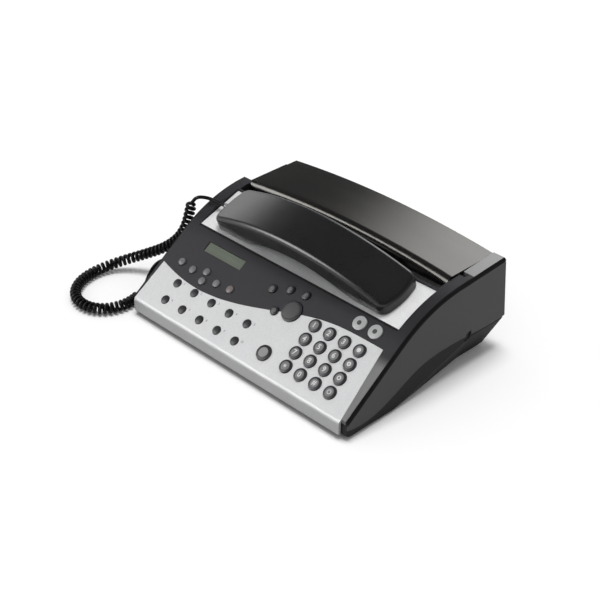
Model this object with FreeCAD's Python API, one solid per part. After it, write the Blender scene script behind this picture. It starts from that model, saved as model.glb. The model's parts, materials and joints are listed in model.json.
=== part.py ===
import FreeCAD, Part

import math
import os

from FreeCAD import Placement, Rotation, Vector

# Fax machine with a handset beside its document slot. Millimetres, +Z up, front towards -Y.
# The origin lies on the table under the middle of the casing.

# Casing
half_width = 138.0
front_y = -99.0
rear_y = 102.0
wall = 3.0
foot_height = 2.0
front_foot_inset = 4.0
rear_foot_y = rear_y - 12.0
lip_z = 4.5
rear_knee_z = 33.0
rear_lean = 0.078
edge_round = 2.4
taper = 0.45
taper_start_y = -59.0
taper_rise = 0.289
side_step = 1.5
side_edge_front_z = 12.5
side_edge = [(-36.0, 21.5), (-11.0, 31.5), (14.5, 35.0)]
side_notch = (49.0, 56.0, 28.0, 38.0)
side_notch_depth = 2.5
seam_depth = 3.4
seam_gap = 0.8

# Reach of cutting shapes: past a face, through a wall and past the whole machine
cut_past = 5.0
cut_through = 20.0
cut_far = 120.0

# Control panel, a plane that rises from the front edge
panel_angle = 35.7
panel_z = 19.0
panel_length = 77.6
crest_radius = 139.5
deck_angle = 3.4

# Silver faceplate, in panel coordinates: x across, s up the slope
plate_thick = 1.4
plate_border = 3.4
plate_border_rear = 5.4
plate_strip = 7.3
plate_strip_rear = 13.4
plate_left = plate_border - half_width
plate_left_rear = plate_border_rear - half_width
plate_right = half_width - plate_strip
plate_right_rear = half_width - plate_strip_rear
nose_y = -102.0
nose_thick = 2.6
nose_round = 5.0
nose_overlap = 8.0
trim_clear = 0.25
border_points = [(-104.6, 35.5), (-75.4, 33.9), (-50.3, 36.4), (-27.8, 41.1), (-6.8, 47.0),
                 (16.0, 54.3), (43.3, 62.2), (64.3, 66.2), (98.0, 68.2)]
border_left_s = 41.0
border_right_s = 68.0

# Keys
key_clear = 0.35
key_flange = 0.75
key_flange_thick = 1.1
key_stem = 1.8
key_travel = 1.2
key_board_gap = 0.3
key_crown = 0.7
number_x = 53.4
number_s = 57.5
number_pitch_x = 17.6
number_pitch_s = 14.4
number_radius = 6.0
touch_x = -102.5
touch_pitch = 23.5
touch_rows = (10.4, 29.2)
touch_radius = 4.15
touch_count = 5
touch_strip = 6.0
single_keys = {
    "start_key": (25.8, 14.7, 7.25),
    "stop_key": (23.9, 58.7, 10.0),
    "clear_key": (8.0, 51.4, 4.0),
    "pale_key_1": (90.1, 78.3, 6.6),
    "pale_key_2": (108.3, 78.0, 6.6),
    "menu_key_1": (-7.9, 68.0, 4.0),
    "menu_key_2": (9.1, 75.0, 4.0),
    "menu_key_3": (26.8, 77.0, 4.0),
    "function_key_1": (-113.3, 48.8, 3.6),
    "function_key_2": (-97.0, 47.2, 3.6),
    "function_key_3": (-81.5, 51.6, 3.6),
    "function_key_4": (-79.9, 42.1, 3.6),
    "function_key_5": (-64.1, 46.7, 3.6),
    "function_key_6": (-47.1, 48.1, 3.6),
}
key_height = 2.0
touch_height = 1.2
board_thick = 1.6
board_side = 17.0
board_x = half_width - board_side
board_s = (5.0, 83.0)
board_posts = [(-118.0, 20.0), (-8.0, 19.8), (116.0, 8.0), (-30.0, 78.0), (60.0, 78.0), (-116.0, 74.0)]
board_post_radius = 2.4
board_post_top = -1.9

# Display
display_x = (-101.0, -52.0)
display_s = (68.0, 78.5)
display_margin = 3.0
display_depth = 3.5
display_sunk = 0.8

# Handset cradle, a plane with less slope behind the panel: x across, v up the slope
cradle_angle = 19.04
cradle_y = -25.3
cradle_z = 70.1
cradle_side = 13.0
cradle_half = half_width - cradle_side
cradle_length = 50.6
cradle_thick = 2.0
ledge_width = 10.0
ledge_side = 3.0
ledge_front = 2.0
ledge_thick = 3.0
well_clear = 2.3
well_floor = 2.0
seat_gap = 0.3

# Handset
handset_left_end = 14.0
handset_right_end = 17.0
handset_left = handset_left_end - cradle_half
handset_right = cradle_half - handset_right_end
handset_front = 4.0
handset_depth = 46.0
handset_end_bulge = 4.0
handset_corner = 9.0
handset_top_mid = 32.0
handset_top_end = 11.0
handset_low_mid = 15.0
handset_low_end = 0.8
handset_flat = 27.5
handset_arch_half = (handset_right - handset_left) / 2 - handset_flat
handset_arch_share = 0.67
handset_wall = 2.2
handset_round = 4.5
handset_seam = 0.4
cup_inset = 30.0
cup_radius = 20.0
cup_depth = 5.0
cup_hole = 1.1
cup_ring = 8.0
cup_holes = 6
cup_root = 1.0
hook_from_flat = 38.5
hook_x = handset_left + handset_flat + hook_from_flat
hook_size = (7.0, 12.0)
hook_clear = 0.4
hook_stem = 12.0
hook_round = 2.0
hook_collar = 3.0
hook_collar_thick = 1.5

# Paper cover
rail_width = 13.9
cover_gap = 0.6
cover_half = half_width - rail_width - cover_gap
cover_front = 35.4
cover_rear = rear_y - 3.4
cover_top = 92.6
cover_fall = 0.6
cover_thick = 3.0
cover_lip = 8.5
cover_skirt = 11.0
hinge_y = cover_rear - 3.6
hinge_z = 86.5
hinge_radius = 2.0
hinge_fit = 0.08
hinge_length = 3.9
hinge_swing = 9.0
hinge_block = (8.0, 6.5)
hinge_ear = (3.0, 3.5)
cover_crown = 7.0
cover_round = 7.0
cover_lip_thick = 2.4
cover_edge = 2.0
slot_front = 24.0
rail_wall = 2.0
rail_depth = 12.0
left_step_y = 41.0
left_step_z = 82.5
rail_notch = (51.0, 57.0)
rail_notch_width = 6.0

# Paper drive
frame_inset = 11.5
frame_x = cover_half - frame_inset
frame_thick = 1.5
frame_end_y = rear_y - 24.0
frame_rear_y = rear_y - 10.0
frame_front = 22.0
frame_over = 9.0
beam_thick = 2.0
beam_tuck = 0.5
head_beam = (-12.0, 5.0)
sensor_beam = (-6.0, 1.0)
roll_y = 62.0
roll_z = 54.5
roll_radius = 23.0
roll_end_gap = 4.0
roll_half = frame_x - roll_end_gap
core_radius = 6.0
core_fit = 0.1
core_stub = 8.0
platen_y = 26.0
platen_z = 67.0
feed_y = -2.0
feed_z = 53.7
roller_radius = 8.0
platen_half = roll_half
shaft_radius = 3.0
shaft_fit = 0.05
shaft_past = 2.0
gear_module = 0.8
gear_teeth = 28
pinion_teeth = 12
gear_width = 5.0
gear_gap = 0.5
gear_backlash = 0.22
gear_addendum = 0.8
gear_dedendum = 1.2
pressure_angle = 20.0
pinion_turn = 240.0
motor_radius = 11.5
motor_length = 20.0
motor_shaft = 1.5
feed_end_gap = 8.0
feed_rubber = (motor_length + feed_end_gap - frame_x, frame_x - feed_end_gap)
head_gap = 0.3
head_size = (4.0, 14.0)
sensor_size = (9.0, 14.0)

# Base contents
speaker_side = 50.0
speaker = (half_width - speaker_side, -52.0)
speaker_radius = 25.0
speaker_height = 12.0
speaker_rim = 3.0
speaker_magnet = 10.0
grille_pitch = 6.0
grille_slot = 2.4
grille_margin = 4.0
main_board_side = 30.0
main_board_gap = 15.0
main_board_x = (main_board_side - half_width, speaker[0] - speaker_radius - main_board_gap)
main_board_y = (-80.0, -34.0)
main_board_post = 4.0
main_board_inset = 5.0
foot_radius = 7.0
foot_side = 34.0
foot_x = half_width - foot_side
foot_rows = (front_y + 19.0, rear_y - 36.0)
foot_places = [(x, y) for y in foot_rows for x in (-foot_x, foot_x)]
post_radius = 3.5
post_sunk = 1.8
post_grip = 2.8
post_wall_gap = 0.5
post_frame_gap = 2.0
front_posts = (half_width - wall - post_radius - post_wall_gap, -70.0)
rear_posts = (frame_x + frame_thick + post_radius + post_frame_gap, -21.0)
front_post_top = 25.0
rear_post_top = 56.0
screw_radius = 1.4
screw_length = 10.0
screw_head = 2.7
screw_head_height = 2.2
screw_seat = 3.0
screw_fit = 0.2

# Sockets
jack_body = (14.0, 13.0, 12.0)
jack_hole = (9.8, 6.8, 10.0)
jack_from_frame = 20.0
jack_pitch = 24.0
line_jacks = (jack_from_frame - frame_x, jack_from_frame + jack_pitch - frame_x)
line_jack_z = 45.0
handset_jack = (-47.5, 29.5)
plug_size = (9.4, 6.4)
plug_in = 9.0
plug_out = 4.0
boot_radius = 3.2
boot_lip = 0.6
boot_length = 8.5
inlet_from_frame = 24.0
inlet_x = frame_x - inlet_from_frame
inlet_z = 45.0
inlet_body = (26.0, 18.0, 12.0)
inlet_hole = (17.0, 8.6, 10.0)
inlet_pin = 1.2

# Curly handset cord: wire, curls and the places its middle passes
wire = 3.4
curl_radius = 3.7
curl_pitch = 4.7
curl_start = 38.0
curl_end_tail = 52.0
cord_route = [(-115.0, -3.4, 84.4), (-131.0, -5.4, 85.6), (-138.0, -9.2, 86.8), (-145.0, -13.0, 85.4),
              (-149.4, -15.6, 78.4), (-149.8, -18.6, 67.6), (-150.6, -22.6, 55.2), (-155.4, -28.4, 42.6),
              (-166.6, -35.4, 31.0), (-182.4, -44.0, 21.2), (-198.0, -55.0, 13.2), (-208.6, -68.0, 8.0),
              (-213.0, -83.0, 5.9), (-211.6, -99.0, 5.9), (-205.8, -114.0, 5.9), (-195.0, -126.0, 5.9),
              (-181.6, -132.0, 5.9), (-166.0, -131.6, 5.9), (-153.5, -123.5, 5.9), (-147.2, -110.6, 5.9),
              (-146.4, -96.0, 5.9), (-149.6, -83.0, 6.4), (-155.0, -72.4, 9.0), (-160.0, -63.6, 14.6),
              (-161.0, -54.8, 21.8), (-155.6, -49.2, 27.4), (-148.5, -47.5, 29.5)]

SIN = math.sin(math.radians(panel_angle))
COS = math.cos(math.radians(panel_angle))
panel_place = Placement(Vector(0, front_y, panel_z), Rotation(Vector(1, 0, 0), panel_angle))
cradle_place = Placement(Vector(0, cradle_y, cradle_z), Rotation(Vector(1, 0, 0), cradle_angle))
panel_normal = panel_place.Rotation.multVec(Vector(0, 0, 1))
cradle_normal = cradle_place.Rotation.multVec(Vector(0, 0, 1))
inner_floor = foot_height + wall


# Small helpers
def placed(shape, placement):
    moved = shape.copy()
    moved.Placement = placement.multiply(moved.Placement)
    return moved


def box(x, y, z):
    """A box from its ranges along x, y and z."""
    return Part.makeBox(x[1] - x[0], y[1] - y[0], z[1] - z[0], Vector(x[0], y[0], z[0]))


def rod(radius, start, end):
    along = end - start
    return Part.makeCylinder(radius, along.Length, start, along)


def face_of(edges):
    return Part.Face(Part.Wire(edges))


def polygon(points):
    return Part.Face(Part.makePolygon(points + points[:1]))


def line(a, b):
    return Part.LineSegment(a, b).toShape()


def arc(a, b, c):
    return Part.Arc(a, b, c).toShape()


def prism_x(points, x):
    """A prism across the casing from its outline in (y, z)."""
    return polygon([Vector(x[0], y, z) for y, z in points]).extrude(Vector(x[1] - x[0], 0, 0))


def mirror_x(shape):
    return shape.mirror(Vector(0, 0, 0), Vector(1, 0, 0))


def fused(shapes):
    return shapes[0].multiFuse(shapes[1:]).removeSplitter()


# Casing outline: the panel's straight rise, a crest and the nearly level deck
def crest(depth):
    """Points of the crest arc, set in from the outside by a depth."""
    centre = (front_y + panel_length * COS + crest_radius * SIN,
              panel_z + panel_length * SIN - crest_radius * COS)
    radius = crest_radius - depth
    points = []
    for angle in (panel_angle, (panel_angle + deck_angle) / 2, deck_angle):
        turn = math.radians(angle)
        points.append((centre[0] - radius * math.sin(turn), centre[1] + radius * math.cos(turn)))
    return points


def deck_height(y, depth):
    end = crest(depth)[2]
    return end[1] + (y - end[0]) * math.tan(math.radians(deck_angle))


def panel_height(y, depth):
    return panel_z + (y - front_y) * SIN / COS - depth / COS


def rear_wall_y(z, inset):
    return rear_y - inset - (z - rear_knee_z) * rear_lean


def top_edges(depth, front, rear, x):
    """The top outline from a front y to a rear y, as edges in the plane at x."""
    first = Vector(x, front, panel_height(front, depth))
    last = Vector(x, rear, deck_height(rear, depth))
    a, b, c = [Vector(x, y, z) for y, z in crest(depth)]
    return [line(first, a), arc(a, b, c), line(c, last)], first, last


def casing(inset):
    """The casing's outer form, or the space inside it for an inset of the wall."""
    half = half_width - inset
    rear_top = rear_wall_y(deck_height(rear_y, 0), inset)
    edges, first, last = top_edges(inset, front_y + inset, rear_top, -half)
    low = [(rear_y - inset, rear_knee_z), (rear_foot_y - inset, foot_height + inset),
           (front_y + front_foot_inset + inset, foot_height + inset), (front_y + inset, lip_z)]
    corners = [last] + [Vector(-half, y, z) for y, z in low] + [first]
    edges += [line(a, b) for a, b in zip(corners, corners[1:])]
    solid = face_of(edges).extrude(Vector(2 * half, 0, 0))
    if inset == 0:
        solid = solid.makeFillet(edge_round, long_top_edges(solid, half))
    cuts = [side_taper(half)]
    if inset == 0:
        cuts.append(side_recess())
    for side in cuts:
        solid = solid.cut(side).cut(mirror_x(side))
    return solid


def long_top_edges(solid, half):
    """The edges along the top of both sides."""
    found = []
    for edge in solid.Edges:
        middle = edge.valueAt((edge.FirstParameter + edge.LastParameter) / 2)
        if abs(abs(middle.x) - half) > 0.01 or edge.BoundBox.XLength > 0.01:
            continue
        if middle.z > panel_height(front_y, 0) + 1 and edge.BoundBox.YLength > 20:
            found.append(edge)
    return found


def side_taper(half):
    """What is cut from the right side where it draws in towards the rear foot."""
    reach = 3 * rear_knee_z
    out = half + cut_past

    def wedge(y, z, along):
        corners = [Vector(half, y, z), Vector(half - taper * reach, y, z - reach), Vector(out, y, z - reach),
                   Vector(out, y, z)]
        return polygon(corners).extrude(along)

    start = front_y - cut_through
    length = rear_y - front_y + 2 * cut_through
    rising = wedge(start, taper_rise * (start - taper_start_y), Vector(0, length, taper_rise * length))
    level = wedge(start, rear_knee_z, Vector(0, length, 0))
    return rising.common(level)


def side_recess():
    """What is cut from the right side below the curved lower edge of its panel."""
    x = half_width - side_step
    first = Vector(x, front_y - cut_past, side_edge_front_z)
    last = Vector(x, rear_y + cut_past, rear_knee_z)
    edge = Part.BSplineCurve()
    edge.interpolate([first] + [Vector(x, y, z) for y, z in side_edge] + [last])
    corners = [last, Vector(x, last.y, -cut_past), Vector(x, first.y, -cut_past), first]
    edges = [edge.toShape()] + [line(a, b) for a, b in zip(corners, corners[1:])]
    return face_of(edges).extrude(Vector(side_step + cut_past, 0, 0))


def below_top(depth):
    """All the space below the top outline set in by a depth."""
    half = half_width + cut_past
    edges, first, last = top_edges(depth, front_y - cut_past, rear_y + cut_past, -half)
    corners = [last, Vector(-half, last.y, -cut_through), Vector(-half, first.y, -cut_through), first]
    edges += [line(a, b) for a, b in zip(corners, corners[1:])]
    return face_of(edges).extrude(Vector(2 * half, 0, 0))


# Panel shapes, drawn flat and laid on the slope
def plate_outline(grow, start):
    """The faceplate's outline on the panel, wider all round by grow, from s = start."""
    left = Vector(plate_left - grow, 0, 0)
    left_rear = Vector(plate_left_rear - grow, border_left_s + grow, 0)
    right_rear = Vector(plate_right_rear + grow, border_right_s + grow, 0)
    right = Vector(plate_right + grow, 0, 0)
    border = Part.BSplineCurve()
    border.interpolate([left_rear] + [Vector(x, s + grow, 0) for x, s in border_points] + [right_rear])
    sides = [line(left, left_rear), border.toShape(), line(right_rear, right)]
    ahead = [Vector(right.x, start, 0), Vector(left.x, start, 0)] if start < 0 else []
    corners = [right] + ahead + [left]
    return face_of(sides + [line(a, b) for a, b in zip(corners, corners[1:])])


def key_places():
    """Every key's place on the panel, its radius and its height above the panel."""
    places = {}
    for row in range(4):
        for column in range(4):
            name = "number_key_%d_%d" % (row + 1, column + 1)
            x = number_x + column * number_pitch_x
            places[name] = [(x, number_s - row * number_pitch_s, number_radius)]
    for name, place in single_keys.items():
        places[name] = [place]
    for number, s in enumerate(touch_rows):
        name = "one_touch_row_%d" % (number + 1)
        places[name] = [(touch_x + i * touch_pitch, s, touch_radius) for i in range(touch_count)]
    return places


def key_holes():
    holes = []
    for keys in key_places().values():
        for x, s, radius in keys:
            foot = Vector(x, s, -cut_through / 2)
            holes.append(Part.makeCylinder(radius + key_clear, cut_through, foot))
    return [placed(hole, panel_place) for hole in holes]


def key(x, s, radius, height):
    """A round key with a crowned top, a flange under the skin and a stem over the board."""
    flange_top = -wall - key_board_gap
    crown = min(key_crown, height / 2)
    sphere = (radius * radius + crown * crown) / (2 * crown)
    body = Part.makeCylinder(radius, height - flange_top, Vector(x, s, flange_top))
    dome = Part.makeSphere(sphere, Vector(x, s, height - sphere))
    body = body.common(dome)
    stem_top = flange_top - key_flange_thick
    flange = Part.makeCylinder(radius + key_flange, key_flange_thick, Vector(x, s, stem_top))
    stem = Part.makeCylinder(radius / 2, key_stem, Vector(x, s, stem_top - key_stem))
    return body.fuse(flange).fuse(stem)


def board_top():
    return -wall - key_board_gap - key_flange_thick - key_stem - key_travel - key_board_gap


def make_keys():
    nodes = {}
    for name, keys in key_places().items():
        height = touch_height if len(keys) > 1 else key_height
        shapes = [key(x, s, radius, height) for x, s, radius in keys]
        top = -wall - key_board_gap
        s = keys[0][1]
        if len(keys) > 1:
            shapes.append(box((keys[0][0], keys[-1][0]), (s - touch_strip / 2, s + touch_strip / 2),
                              (top - key_flange_thick, top)))
        solid = fused(shapes) if len(shapes) > 1 else shapes[0].removeSplitter()
        nodes[name] = placed(solid, panel_place)
    return nodes


def make_faceplate():
    plate = plate_outline(0, 0).extrude(Vector(0, 0, -plate_thick))
    plate = placed(plate, panel_place)
    bend = math.radians(90 - panel_angle)
    tangent = nose_round * math.tan(bend / 2)
    tip = panel_height(nose_y, 0)
    start = (nose_y + tangent * COS, tip + tangent * SIN)
    end = (nose_y, tip - tangent)
    middle_turn = math.radians((90 + panel_angle + 180) / 2)
    centre = (nose_y + nose_round, end[1])
    middle = (centre[0] + nose_round * math.cos(middle_turn), centre[1] + nose_round * math.sin(middle_turn))
    outer = (front_y + nose_overlap * COS, panel_z + nose_overlap * SIN)
    inner = (outer[0] + plate_thick * SIN, outer[1] - plate_thick * COS)
    inside = nose_y + nose_thick
    under = (inside, panel_height(inside, plate_thick))
    outline = (outer, start, middle, end, (nose_y, lip_z), (inside, lip_z), under, inner)
    points = [Vector(plate_left, y, z) for y, z in outline]
    edges = [line(points[0], points[1]), arc(points[1], points[2], points[3])]
    rest = points[3:] + points[:1]
    edges += [line(a, b) for a, b in zip(rest, rest[1:])]
    nose = face_of(edges).extrude(Vector(plate_right - plate_left, 0, 0))
    below = placed(plate_outline(0, -cut_through).extrude(Vector(0, 0, 3 * cut_through)), panel_place)
    below.translate(panel_normal * -2 * cut_through)
    nose = nose.common(below)
    return plate.fuse(nose).cut(Part.makeCompound(key_holes())).removeSplitter()


def make_upper_housing(outer, inner):
    skin = outer.cut(inner).cut(below_top(seam_depth - seam_gap))
    recess = placed(plate_outline(trim_clear, -cut_through).extrude(Vector(0, 0, cut_through)), panel_place)
    recess.translate(panel_normal * -plate_thick)
    window = box(display_x, display_s, (-cut_through, cut_through))
    window = placed(window, panel_place)
    half = cradle_half + trim_clear
    rear = cradle_length + trim_clear
    pocket = placed(box((-half, half), (-trim_clear, rear), (-cradle_thick, cut_through)), cradle_place)
    inside = cover_half + cover_gap
    cover = box((-inside, inside), (slot_front, rear_y + cut_past), (rear_knee_z, cut_far))
    skin = skin.cut(recess).cut(window).cut(Part.makeCompound(key_holes())).cut(pocket).cut(cover)
    ledge = box((-half - ledge_side, half + ledge_side), (-ledge_front, rear),
                (-cradle_thick - ledge_thick, -cradle_thick))
    opening = box((-half + ledge_width, half - ledge_width), (ledge_front, rear + cut_past),
                  (-cut_through, cut_through))
    ledge = placed(ledge.cut(opening), cradle_place)
    parts = [skin, ledge]
    for x, s in board_posts:
        post = Part.makeCylinder(board_post_radius, board_post_top - board_top(), Vector(x, s, board_top()))
        parts.append(placed(post, panel_place))
    for side in (-1, 1):
        front = Vector(side * front_posts[0], front_posts[1], front_post_top)
        parts.append(rod(post_radius, front, front + Vector(0, 0, cut_far)).common(below_top(post_sunk)))
        rear = Vector(side * rear_posts[0], rear_posts[1], rear_post_top)
        under = rod(post_radius, rear, rear + Vector(0, 0, cut_far)).common(ledge).BoundBox.ZMin
        parts.append(rod(post_radius, rear, Vector(rear.x, rear.y, under + post_grip)))
        parts.append(rail_inner_wall(side, outer))
        parts.append(hinge_corner(side).common(outer))
    solid = fused(parts)
    step = box((-half_width - cut_past, -inside - rail_wall), (left_step_y, rear_y + cut_past),
               (left_step_z, cut_far))
    thumb = box((cover_half, inside + rail_notch_width), rail_notch, (cover_top - cover_lip, cut_far))
    low_wall = box((-half_width, -cover_half), (left_step_y, rear_y), (cover_top - cover_thick, cut_far))
    solid = solid.cut(step).cut(thumb).cut(low_wall)
    shelf = box((-half_width, -inside), (left_step_y - wall, rear_y), (left_step_z - wall, left_step_z))
    solid = solid.fuse(shelf.common(outer)).removeSplitter()
    holes = []
    for side in (-1, 1):
        holes.append(screw_pilot(side * front_posts[0], front_posts[1], front_post_top))
        holes.append(screw_pilot(side * rear_posts[0], rear_posts[1], rear_post_top))
        start = Vector(side * cover_half, hinge_y, hinge_z)
        end = Vector(side * (cover_half + hinge_length + cover_gap), hinge_y, hinge_z)
        holes.append(rod(hinge_radius + hinge_fit, start, end))
    return solid.cut(Part.makeCompound(holes))


def rail_inner_wall(side, outer):
    """The wall under the rail beside the cover."""
    near = cover_half + cover_gap
    x = sorted((side * near, side * (near + rail_wall)))
    rear_top = deck_height(rear_y, 0)
    low = deck_height(slot_front, 0) - rail_depth
    return box(x, (slot_front, rear_wall_y(rear_top, wall)), (low, rear_top)).common(outer)


def hinge_corner(side):
    """The block in the rear corner that carries the cover's hinge pin."""
    near = cover_half + cover_gap
    x = sorted((side * near, side * (near + hinge_block[1])))
    return box(x, (hinge_y - hinge_block[0], rear_y + cut_past), (hinge_z - hinge_swing, cut_far))


def screw_pilot(x, y, bottom):
    return rod(screw_radius, Vector(x, y, bottom), Vector(x, y, bottom + screw_length - screw_seat + 0.5))


def make_base_housing(outer, inner):
    shell = outer.cut(inner).common(below_top(seam_depth))
    parts = [shell]
    between = below_top(seam_depth - seam_gap).cut(below_top(2 * seam_depth))
    for side in (-1, 1):
        tongue_x = sorted((side * (half_width - wall), side * (half_width - wall / 2)))
        tongue = box(tongue_x, (front_y + wall, rear_y - 2 * wall), (0, cut_far))
        parts.append(tongue.common(between))
        for (x, y), top in ((front_posts, front_post_top), (rear_posts, rear_post_top)):
            parts.append(rod(post_radius, Vector(side * x, y, inner_floor - 1), Vector(side * x, y, top)))
    for x in (main_board_x[0] + main_board_inset, main_board_x[1] - main_board_inset):
        for y in (main_board_y[0] + main_board_inset, main_board_y[1] - main_board_inset):
            foot = Vector(x, y, inner_floor - 1)
            parts.append(rod(post_radius, foot, foot + Vector(0, 0, main_board_post + 1)))
    solid = fused(parts)
    cuts = []
    for side in (-1, 1):
        for (x, y), top in ((front_posts, front_post_top), (rear_posts, rear_post_top)):
            foot = Vector(side * x, y, 0)
            cuts.append(rod(screw_radius + screw_fit, foot, foot + Vector(0, 0, top)))
            cuts.append(rod(screw_head + screw_fit, foot, foot + Vector(0, 0, top - screw_seat)))
        cuts.append(hinge_corner(side))
    inside = cover_half + cover_gap
    cuts.append(box((-inside, inside), (slot_front, rear_y + cut_past), (hinge_z - hinge_swing, cut_far)))
    shelf = left_step_z - wall
    cuts.append(box((-half_width - cut_past, -cover_half), (left_step_y - wall, rear_y + cut_past),
                    (shelf, cut_far)))
    for x in line_jacks:
        cuts.append(jack_block((x, line_jack_z), jack_hole, cut_past))
    cuts.append(jack_block((inlet_x, inlet_z), inlet_hole, cut_past))
    cuts.append(side_jack_block(jack_hole, cut_past))
    for i in range(-3, 4):
        y = speaker[1] + i * grille_pitch
        half = math.sqrt(speaker_radius ** 2 - (i * grille_pitch) ** 2) - grille_margin
        cuts.append(box((speaker[0] - half, speaker[0] + half), (y - grille_slot / 2, y + grille_slot / 2),
                        (0, inner_floor + 0.1)))
    notch = box((half_width - side_notch_depth, half_width + cut_past), side_notch[:2], side_notch[2:])
    return solid.cut(Part.makeCompound(cuts)).cut(notch)


# Sockets
def jack_block(place, size, reach):
    """A block set into the rear wall at a place (x, z), from outside inwards."""
    x, z = place
    width, height, depth = size
    outside = rear_wall_y(z, 0)
    return box((x - width / 2, x + width / 2), (outside - depth, outside + reach),
               (z - height / 2, z + height / 2))


def side_jack_block(size, reach):
    """A block set into the left wall at the handset's socket, from outside inwards."""
    y, z = handset_jack
    width, height, depth = size
    return box((-half_width - reach, -half_width + depth), (y - width / 2, y + width / 2),
               (z - height / 2, z + height / 2))


def make_modular_jacks(inner):
    shapes = []
    deep = (jack_body[0], jack_body[1], wall + jack_body[2])
    for x in line_jacks:
        body = jack_block((x, line_jack_z), deep, 0).common(inner)
        shapes.append(body.cut(jack_block((x, line_jack_z), jack_hole, wall)))
    body = side_jack_block(deep, 0).common(inner)
    shapes.append(body.cut(side_jack_block(jack_hole, wall)))
    return Part.makeCompound(shapes)


def make_power_inlet(inner):
    deep = (inlet_body[0], inlet_body[1], wall + inlet_body[2])
    body = jack_block((inlet_x, inlet_z), deep, 0).common(inner)
    solid = body.cut(jack_block((inlet_x, inlet_z), inlet_hole, wall))
    outside = rear_wall_y(inlet_z, 0)
    for side in (-1, 1):
        x = inlet_x + side * inlet_hole[0] / 4
        foot = Vector(x, outside - inlet_hole[2] - 1, inlet_z)
        solid = solid.fuse(rod(inlet_pin, foot, Vector(x, outside - wall, inlet_z)))
    return solid


# Cradle, handset and hook
def cup_centres():
    middle = handset_front + handset_depth / 2
    return [(handset_left + cup_inset, middle), (handset_right - cup_inset, middle)]


def make_cradle_plate():
    plate = box((-cradle_half, cradle_half), (0, cradle_length), (-cradle_thick, 0))
    wells = []
    hollows = []
    for x, v in cup_centres():
        depth = cup_depth + seat_gap
        radius = cup_radius + well_clear
        foot = Vector(x, v, -depth - well_floor)
        wells.append(Part.makeCylinder(radius + well_floor, depth + well_floor, foot))
        hollows.append(Part.makeCylinder(radius, depth + cut_past, Vector(x, v, -depth)))
    solid = fused([plate] + wells)
    solid = solid.common(box((-cradle_half, cradle_half), (0, cradle_length), (-cut_through, cut_through)))
    across, along = [size / 2 + hook_clear for size in hook_size]
    v = handset_front + handset_depth / 2
    slot = box((hook_x - across, hook_x + across), (v - along, v + along), (-cut_through, cut_through))
    return placed(solid.cut(Part.makeCompound(hollows)).cut(slot), cradle_place)


def handset_arch(x, middle, end, half_chord):
    """Height of a circular arch with the given heights at its middle and ends."""
    rise = middle - end
    radius = (half_chord ** 2 + rise ** 2) / (2 * rise)
    return middle - radius + math.sqrt(radius ** 2 - x ** 2)


def handset_middle():
    return (handset_left + handset_right) / 2


def handset_half():
    return (handset_right - handset_left) / 2


def arch_edges(middle, end, reach):
    """One circular arch over the handset's length, as far as reach past its middle on both sides."""
    x = handset_middle()
    height = handset_arch(reach, middle, end, handset_half())
    spots = [Vector(x + side * reach, 0, height if side else middle) for side in (-1, 0, 1)]
    return [arc(*spots)], spots[0], spots[2]


def underside_edges(middle, end, reach):
    """Flat ends with a bridge between them: a wide arc joined to the flats by smaller ones."""
    x = handset_middle()
    rise = middle - end
    turn = 2 * math.atan(rise / handset_arch_half)
    whole = handset_arch_half / math.sin(turn)
    wide = whole * handset_arch_share
    small = whole - wide

    def spot(side, radius, angle, from_top):
        along = radius * math.sin(angle)
        fall = radius * (1 - math.cos(angle))
        if from_top:
            return Vector(x + side * along, 0, middle - fall)
        return Vector(x + side * (handset_arch_half - along), 0, end + fall)

    left, right = [[Vector(x + side * reach, 0, end), spot(side, small, 0, False),
                    spot(side, small, turn / 2, False), spot(side, wide, turn, True)] for side in (-1, 1)]
    edges = [line(left[0], left[1]), arc(*left[1:]), arc(left[3], spot(1, wide, 0, True), right[3]),
             arc(*right[:0:-1]), line(right[1], right[0])]
    return edges, left[0], right[0]


def handset_band(low, high):
    """The band between two chains of edges over the handset's length, as deep as the handset and more."""
    low_edges, low_left, low_right = low
    high_edges, high_left, high_right = high
    edges = low_edges + high_edges + [line(low_right, high_right), line(low_left, high_left)]
    band = face_of(Part.sortEdges(edges)[0]).extrude(Vector(0, handset_depth + 2 * cut_past, 0))
    band.translate(Vector(0, handset_front - cut_past, 0))
    return band


def handset_plan(inset):
    """The handset seen from above, with bulging ends and rounded corners, as a tall prism."""
    left = handset_left + inset
    right = handset_right - inset
    near = handset_front + inset
    far = handset_front + handset_depth - inset
    middle = (near + far) / 2
    shoulder = handset_end_bulge
    places = [(left + shoulder, near), (right - shoulder, near), (right, middle), (right - shoulder, far),
              (left + shoulder, far), (left, middle)]
    points = [Vector(x, v, -cut_through) for x, v in places]
    edges = [line(points[0], points[1]), arc(points[1], points[2], points[3]), line(points[3], points[4]),
             arc(points[4], points[5], points[0])]
    solid = face_of(edges).extrude(Vector(0, 0, cut_far))
    upright = [edge for edge in solid.Edges if edge.BoundBox.ZLength > cut_through]
    return solid.makeFillet(handset_corner - inset, upright)


def handset_body(inset):
    reach = handset_half() + cut_past
    low = underside_edges(handset_low_mid + inset, handset_low_end + inset, reach)
    high = arch_edges(handset_top_mid - inset, handset_top_end - inset, reach)
    solid = handset_band(low, high).common(handset_plan(inset))
    if inset == 0:
        broad = max(solid.Faces, key=lambda face: face.CenterOfMass.z)
        solid = solid.makeFillet(handset_round, broad.Edges)
    return solid


def handset_seam_heights():
    return tuple(low + handset_seam * (high - low) for low, high in
                 ((handset_low_mid, handset_top_mid), (handset_low_end, handset_top_end)))


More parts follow.
